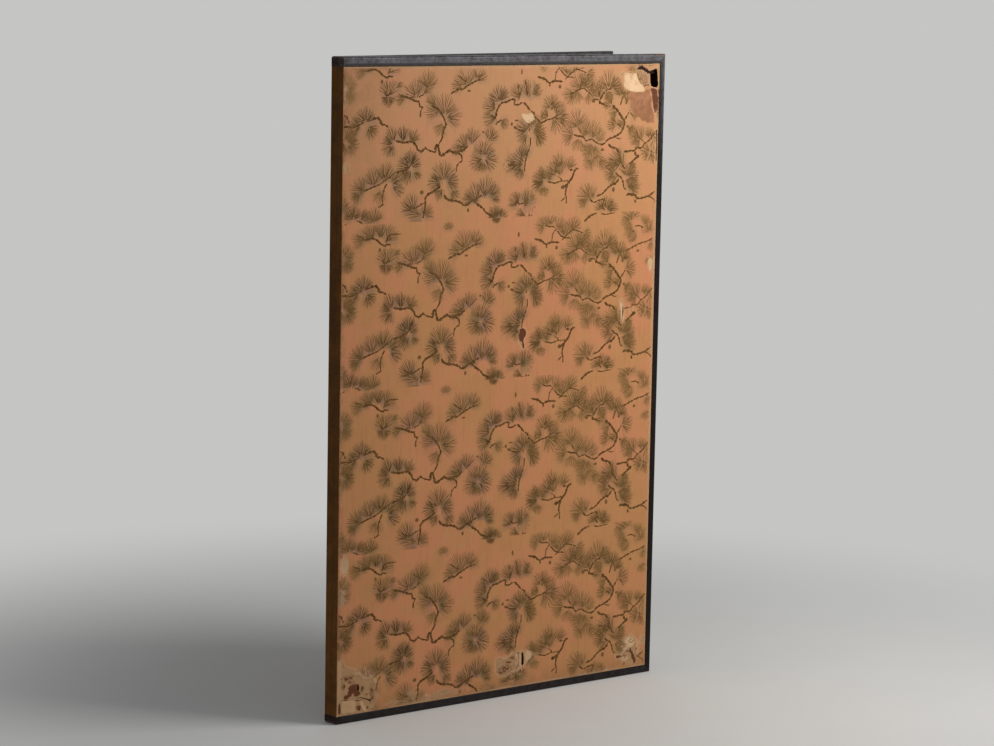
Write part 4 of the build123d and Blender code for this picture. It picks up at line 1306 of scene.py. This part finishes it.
def smooth_way(places, pick):
    """A soft curve through the places, with the small kinks of a pine branch."""
    way = []
    ends = [places[0], *places, places[-1]]
    for i in range(1, len(ends) - 2):
        p0, p1, p2, p3 = (np.array(ends[i + k], float) for k in (-1, 0, 1, 2))
        cuts = max(2, round(np.linalg.norm(p2 - p1) / branch_step))
        for cut in range(cuts):
            t = cut / cuts
            bend = 2 * p1 + (p2 - p0) * t
            bend += (2 * p0 - 5 * p1 + 4 * p2 - p3) * t**2
            bend += (3 * p1 - p0 - 3 * p2 + p3) * t**3
            kink = pick.uniform(-branch_wander, branch_wander), pick.uniform(-branch_wander, branch_wander)
            way.append(tuple(bend / 2 + np.array(kink)))
    way.append(tuple(places[-1]))
    return way


def ray(across, down, bearing, steps, bow=0.0):
    """Places on the block along a line that leaves a place at a bearing, bowed aside at its middle."""
    line = []
    for out in steps:
        share = out / steps[-1]
        aside = bow * 4 * share * (1 - share)
        a = across + out * math.cos(bearing) - aside * math.sin(bearing)
        line.append((a, down - out * math.sin(bearing) - aside * math.cos(bearing)))
    return line


# Long needles: the degrees from one to the next, how wide they fan out, their length in shares of
# the reach, how much shorter the outer ones are, where they start, their bow, and their width.
needle_gap, needle_fan, needle_lengths, outer_loss = 7.2, 1.08, (0.82, 1.06), 0.25
needle_starts, needle_bow, outer_bow, needle_widths = (0.5, 5.0), 0.04, 0.05, (1.4, 2.3)
needle_fading = 0.22
# Short dark ones between them, in the same way.
short_gap, short_fan, short_starts, short_least, short_most = 16, 0.45, (-1, 9), 8, 0.45
short_widths, short_wood = [0, 2.4, 1.8, 0], 0.35


def needle_strokes(across, down, facing, spread, reach, fade, pick):
    """One spray: long needles that fan out from its foot, then the short dark ones between them."""
    made = []
    count = round(spread / needle_gap) + 2
    for i in range(count):
        share = (i + pick.uniform(0.25, 0.75)) / count - 0.5
        bearing = math.radians(facing + needle_fan * spread * share)
        length = bloom * reach * pick.uniform(*needle_lengths) * (1 - outer_loss * abs(2 * share) ** 2)
        start = pick.uniform(*needle_starts)
        steps = [start + (length - start) * t for t in (0.0, 0.25, 0.6, 0.9, 1.0)]
        bow = length * (pick.uniform(-needle_bow, needle_bow) - outer_bow * share)
        line = ray(across, down, bearing, steps, bow)
        thick = pick.uniform(*needle_widths)
        widths = [0, 0.8 * thick, thick, 0.7 * thick, 0]
        made.append((line, widths, min(1, fade + pick.uniform(0, needle_fading)), 0.0))
    for i in range(round(spread / short_gap)):
        bearing = math.radians(facing + pick.uniform(-short_fan, short_fan) * spread)
        start, length = pick.uniform(*short_starts), pick.uniform(short_least, short_most * reach)
        line = ray(across, down, bearing, [start + length * t for t in (0, 0.35, 0.7, 1)])
        made.append((line, short_widths, fade, short_wood))
    return made


branch_width, branch_taper, branch_swelling = 2.95, 0.35, 0.28
spur_lengths, spur_fading, spur_wood = (4, 8.5), 0.3, 0.8


def branch_strokes(thick, way, pick):
    """One branch, uneven and thinner towards its tip, and the spurs and bark marks along it."""
    line = smooth_way(way, pick)
    widths = []
    for i in range(len(line)):
        swelling = 0.9 + branch_swelling * math.sin(i * 1.7 + thick)
        swelling += pick.uniform(-branch_swelling, branch_swelling)
        widths.append(branch_width * thick * swelling * (1 - branch_taper * i / (len(line) - 1)))
    made = [(line, widths, 0.0, 1.0)]
    for across, down in way[1:-1] + line[2:-2:3]:
        spur = pick.uniform(*spur_lengths)
        bearing = pick.uniform(0, math.tau)
        mark = ray(across, down, bearing, [-0.4 * spur, 0, 0.4 * spur, 0.8 * spur])
        made.append((mark, [0, 1.7 * thick, 1.2 * thick, 0], pick.uniform(0, spur_fading), spur_wood))
    return made


knot_fade, knot_wood = 0.45, 0.7


def knot_stroke(across, down, half_width, half_height):
    line = [(across, down + half_height * t) for t in (-1.1, -0.6, 0.0, 0.5, 1.0)]
    widths = [0, 1.9 * half_width, 2.4 * half_width, 1.9 * half_width, 0]
    return line, widths, knot_fade, knot_wood


def block_strokes(block):
    """Every stroke of one block: its line, its widths, how faded and how woody. Its sheets share them."""
    cut = pine_blocks[block]
    pick = random.Random(cut["seed"])
    made = []
    for *spray, fade in cut["sprays"]:
        made += needle_strokes(*spray, fade + cut["paler"], pick)
    for thick, way in cut["branches"]:
        made += branch_strokes(thick, way, pick)
    return made + [knot_stroke(*knot) for knot in cut["knots"]]


def ridges(lines, widths):
    """Strokes with equal counts of places, each a low ridge of ink pointed at both ends."""
    lines, widths = np.array(lines), np.array(widths)[:, 1:-1, None]
    count, rings = len(lines), lines.shape[1] - 2
    run = lines[:, 2:] - lines[:, :-2]
    run /= np.maximum(np.linalg.norm(run, axis=2, keepdims=True), 1e-6)
    aside = np.stack([-run[:, :, 1], run[:, :, 0]], 2) * widths / 2
    middle = lines[:, 1:-1]
    low, high = np.full((count, rings, 1), ink_root), np.full((count, rings, 1), ink_crest)
    ring = [np.dstack([middle - aside, low]), np.dstack([middle, high]), np.dstack([middle + aside, low])]
    body = np.stack(ring, 2).reshape(count, 3 * rings, 3)
    tips = np.dstack([lines, np.full(lines.shape[:2] + (1,), ink_root)])
    points = np.concatenate([tips[:, :1], body, tips[:, -1:]], 1)
    size = 3 * rings + 2
    faces = []
    for k in range(3):
        n = (k + 1) % 3
        faces.append((0, 1 + n, 1 + k))
        faces += [(1 + 3 * i + k, 1 + 3 * i + n, 4 + 3 * i + n, 4 + 3 * i + k) for i in range(rings - 1)]
        faces.append((size - 4 + k, size - 4 + n, size - 1))
    every = [tuple(corner + size * stroke for corner in face) for stroke in range(count) for face in faces]
    return points.reshape(-1, 3), every, size


def edge_finder(side, outline):
    """Finds how near a place on a sheet is to the sheet's edge or to a tear."""
    line = []
    for loop in [outline, *torn_patches[side]]:
        line += ragged(loop, 0, 0, edge_step)
    tree = kdtree.KDTree(len(line))
    for number, place in enumerate(line):
        tree.insert((*place, 0), number)
    tree.balance()
    return tree


cut_blocks = {}
for block in pine_blocks:
    strokes = block_strokes(block)
    every_place = np.array([place for stroke in strokes for place in stroke[0]])
    cut_blocks[block] = strokes, every_place, np.cumsum([0] + [len(stroke[0]) for stroke in strokes])


# A stroke narrows as it nears an edge, and fades where the sheet is rubbed.
edge_thinning, wear_fading = 1.8, 0.8


def printed_strokes(side, row, column, outline):
    """What falls on one sheet of each stroke, thinned towards its edges, by its count of places."""
    kept = {}
    edges = edge_finder(side, outline)
    for repeat, block in block_runs(side, column):
        strokes, every_place, stroke_ends = cut_blocks[block]
        places = block_to_panel(side, row, repeat, every_place)
        on_sheet = inside(places, outline)
        on_sheet &= ~in_any(torn_patches[side] + skinned_patches[side], places)
        wear = strongest(rubbed_places[side], places, rub_power)
        for number in np.unique(np.searchsorted(stroke_ends, np.flatnonzero(on_sheet), "right") - 1):
            widths, fade, wood = strokes[number][1:]
            first, last = stroke_ends[number], stroke_ends[number + 1]
            good = np.flatnonzero(on_sheet[first:last])
            for run in np.split(good, np.flatnonzero(np.diff(good) > 1) + 1):
                if len(run) > 2:
                    room = [edges.find((*places[first + i], 0))[2] for i in run]
                    thick = [min(widths[i], edge_thinning * near) for i, near in zip(run, room)]
                    paler = min(1, fade + wear_fading * wear[first])
                    stroke = (places[first:last][run], thick, paler, wood)
                    kept.setdefault(len(run), []).append(stroke)
    return kept


for (side, row, column), outline in outlines.items():
    kept = printed_strokes(side, row, column, outline)
    points, faces, faded, woody = [], [], [], []
    start = 0
    for length in sorted(kept):
        lines, widths, fades, woods = zip(*kept[length])
        found, made, size = ridges(lines, widths)
        faces += [tuple(corner + start for corner in face) for face in made]
        start += len(found)
        points.append(found)
        faded.append(np.repeat(fades, size))
        woody.append(np.repeat(woods, size))
    flat = np.vstack(points)
    depth = sheet_depth(side, row, column, flat[:, :2]) + flat[:, 2]
    points = np.stack([flat[:, 0], depth, flat[:, 1]], 1)
    marks = {"faded": np.concatenate(faded), "woody": np.concatenate(woody)}
    print_piece = make_piece(f"{side}_pine_print_{row}{column}", points, faces, ink, marks)

# ---- Lacquered rails and stiles ----
# The outer frame is black lacquer over wood, mitred at the free corners and pinned to the core.
# The lacquer is rubbed brown along its edges. Dust and a painted sheen grey it high up, near each
# stile's outer edge and over the top rail's outer part, and faintly along the bottom rail. The band
# stops short of the top rail's inner edge, which leaves a painted dark line above the paper.
black_lacquer, brown_lacquer = (0.0055, 0.0034, 0.0030, 1), (0.013, 0.0075, 0.0060, 1)
dust_and_sheen_tone, bare_wood = (0.108, 0.106, 0.122, 1), (0.105, 0.050, 0.030, 1)
lacquer, lacquer_body = new_material("black_lacquer", 0.3, 0.12)
lacquer_where = object_place(lacquer)
crackle = grain_noise(lacquer, lacquer_where, 150.0, 6.0, 0.7)
haze = grain_noise(lacquer, lacquer_where, 16.0, 5.0, 0.65)
dust_and_sheen_specks = grain_noise(lacquer, lacquer_where, 75.0, 6.0, 0.72)
dust_and_sheen_share = ease(lacquer, dust_and_sheen_specks, 0.25, 0.7)
dust_and_sheen_share = calculate(lacquer, "MULTIPLY", mark_on(lacquer, "dust_and_sheen"), dust_and_sheen_share, True)
rubbed = calculate(lacquer, "ADD", mark_on(lacquer, "worn"), crackle)
rubbed = ease(lacquer, rubbed, 0.95, 1.2, 0.9)
lacquer_tone = layered(lacquer, black_lacquer, (haze, brown_lacquer), (dust_and_sheen_share, dust_and_sheen_tone), (rubbed, bare_wood))
lacquer_rough = calculate(lacquer, "ADD", ease(lacquer, haze, 0.2, 0.8, 0.2), 0.2)
surface(lacquer, lacquer_body, lacquer_tone, lacquer_rough, crackle, 0.00012)

lacquered = {"top_rail": (14, 0, 3.0), "bottom_rail": (14, 0, 3.0), "side_stile": (3.0, 0, 14)}
dust_and_sheen_lies = {"left": 1, "right": 0.4}
free_corner, corner_reach = (946, 1526), 30
arris_width, arris_reach = 2.5, 2.2
arris_wear, patchy_wear, corner_wear = 0.42, 0.05, 0.3
end_wear, end_band = 0.5, 1.2
free_wear, free_from = 0.16, 820
stile_dust_and_sheen, stile_dust_and_sheen_fade, rail_dust_and_sheen, plain_end = 12, 8, 17, 1.5
dust_and_sheen_from, dust_and_sheen_over, dust_and_sheen_below, dust_and_sheen_loss = 1200, 250, 0.16, 0.22
face_band, face_lift = 3, 0.05
for side in sides:
    for part, spacing in lacquered.items():
        node = f"{side}_{part}"
        low, high = own_box(node)
        points, faces = fine_copy(node, spacing)
        across, deep, up = points.T.copy()
        # Painted sheen with dust: grey where the lamp would be reflected, by place on the part.
        if part == "side_stile":
            to_outer = np.abs(across - high[0])
            dust_and_sheen = np.clip((stile_dust_and_sheen - to_outer) / stile_dust_and_sheen_fade, 0, 1)
        else:
            to_outer = np.abs(up - (high[2] if part == "top_rail" else low[2]))
            dust_and_sheen = to_outer < rail_dust_and_sheen
        to_face = np.minimum(deep - low[1], high[1] - deep)
        arris = hump(to_outer + to_face - arris_width, arris_reach)
        wave = rough_wave(points, 2.3 + len(part))
        worn = arris_wear * arris * (0.7 + 0.5 * wave) + patchy_wear * wave + end_wear * (across < end_band)
        if side == "left":
            to_corner = np.hypot(across - free_corner[0], up - free_corner[1])
            worn += corner_wear * hump(to_corner, corner_reach) + free_wear * arris * (across > free_from)
        dust_and_sheen = dust_and_sheen * np.clip((up - dust_and_sheen_from) / dust_and_sheen_over, 0, 1) + dust_and_sheen_below * (part == "bottom_rail")
        dust_and_sheen = dust_and_sheen * (across > plain_end) * (1 - dust_and_sheen_loss * across / high[0]) * dust_and_sheen_lies[side]
        points[:, 1] -= np.where(deep > high[1] - face_band, face_lift * (1 + wave), 0)
        marks = {"worn": np.clip(worn, 0, 1), "dust_and_sheen": dust_and_sheen}
        rail = make_piece(f"{node}_lacquered", points, faces, lacquer, marks, 28)
        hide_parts(node)

# ---- Frame pins ----
# Headless iron pins, pointed at both ends, hold the lacquered frame to the core. Each is half in
# the rail or stile and half in the cedar.
black_iron, rusty_iron = (0.05, 0.042, 0.04, 1), (0.14, 0.075, 0.045, 1)
iron, iron_body = new_material("forged_iron", 0.6, 0.5)
iron_body.inputs["Metallic"].default_value = 0.8
iron_scale = grain_noise(iron, object_place(iron), 900.0)
surface(iron, iron_body, two_tones(iron, iron_scale, black_iron, rusty_iron), None, iron_scale, 0.0001)
for side in sides:
    dress(f"{side}_frame_pins", iron)
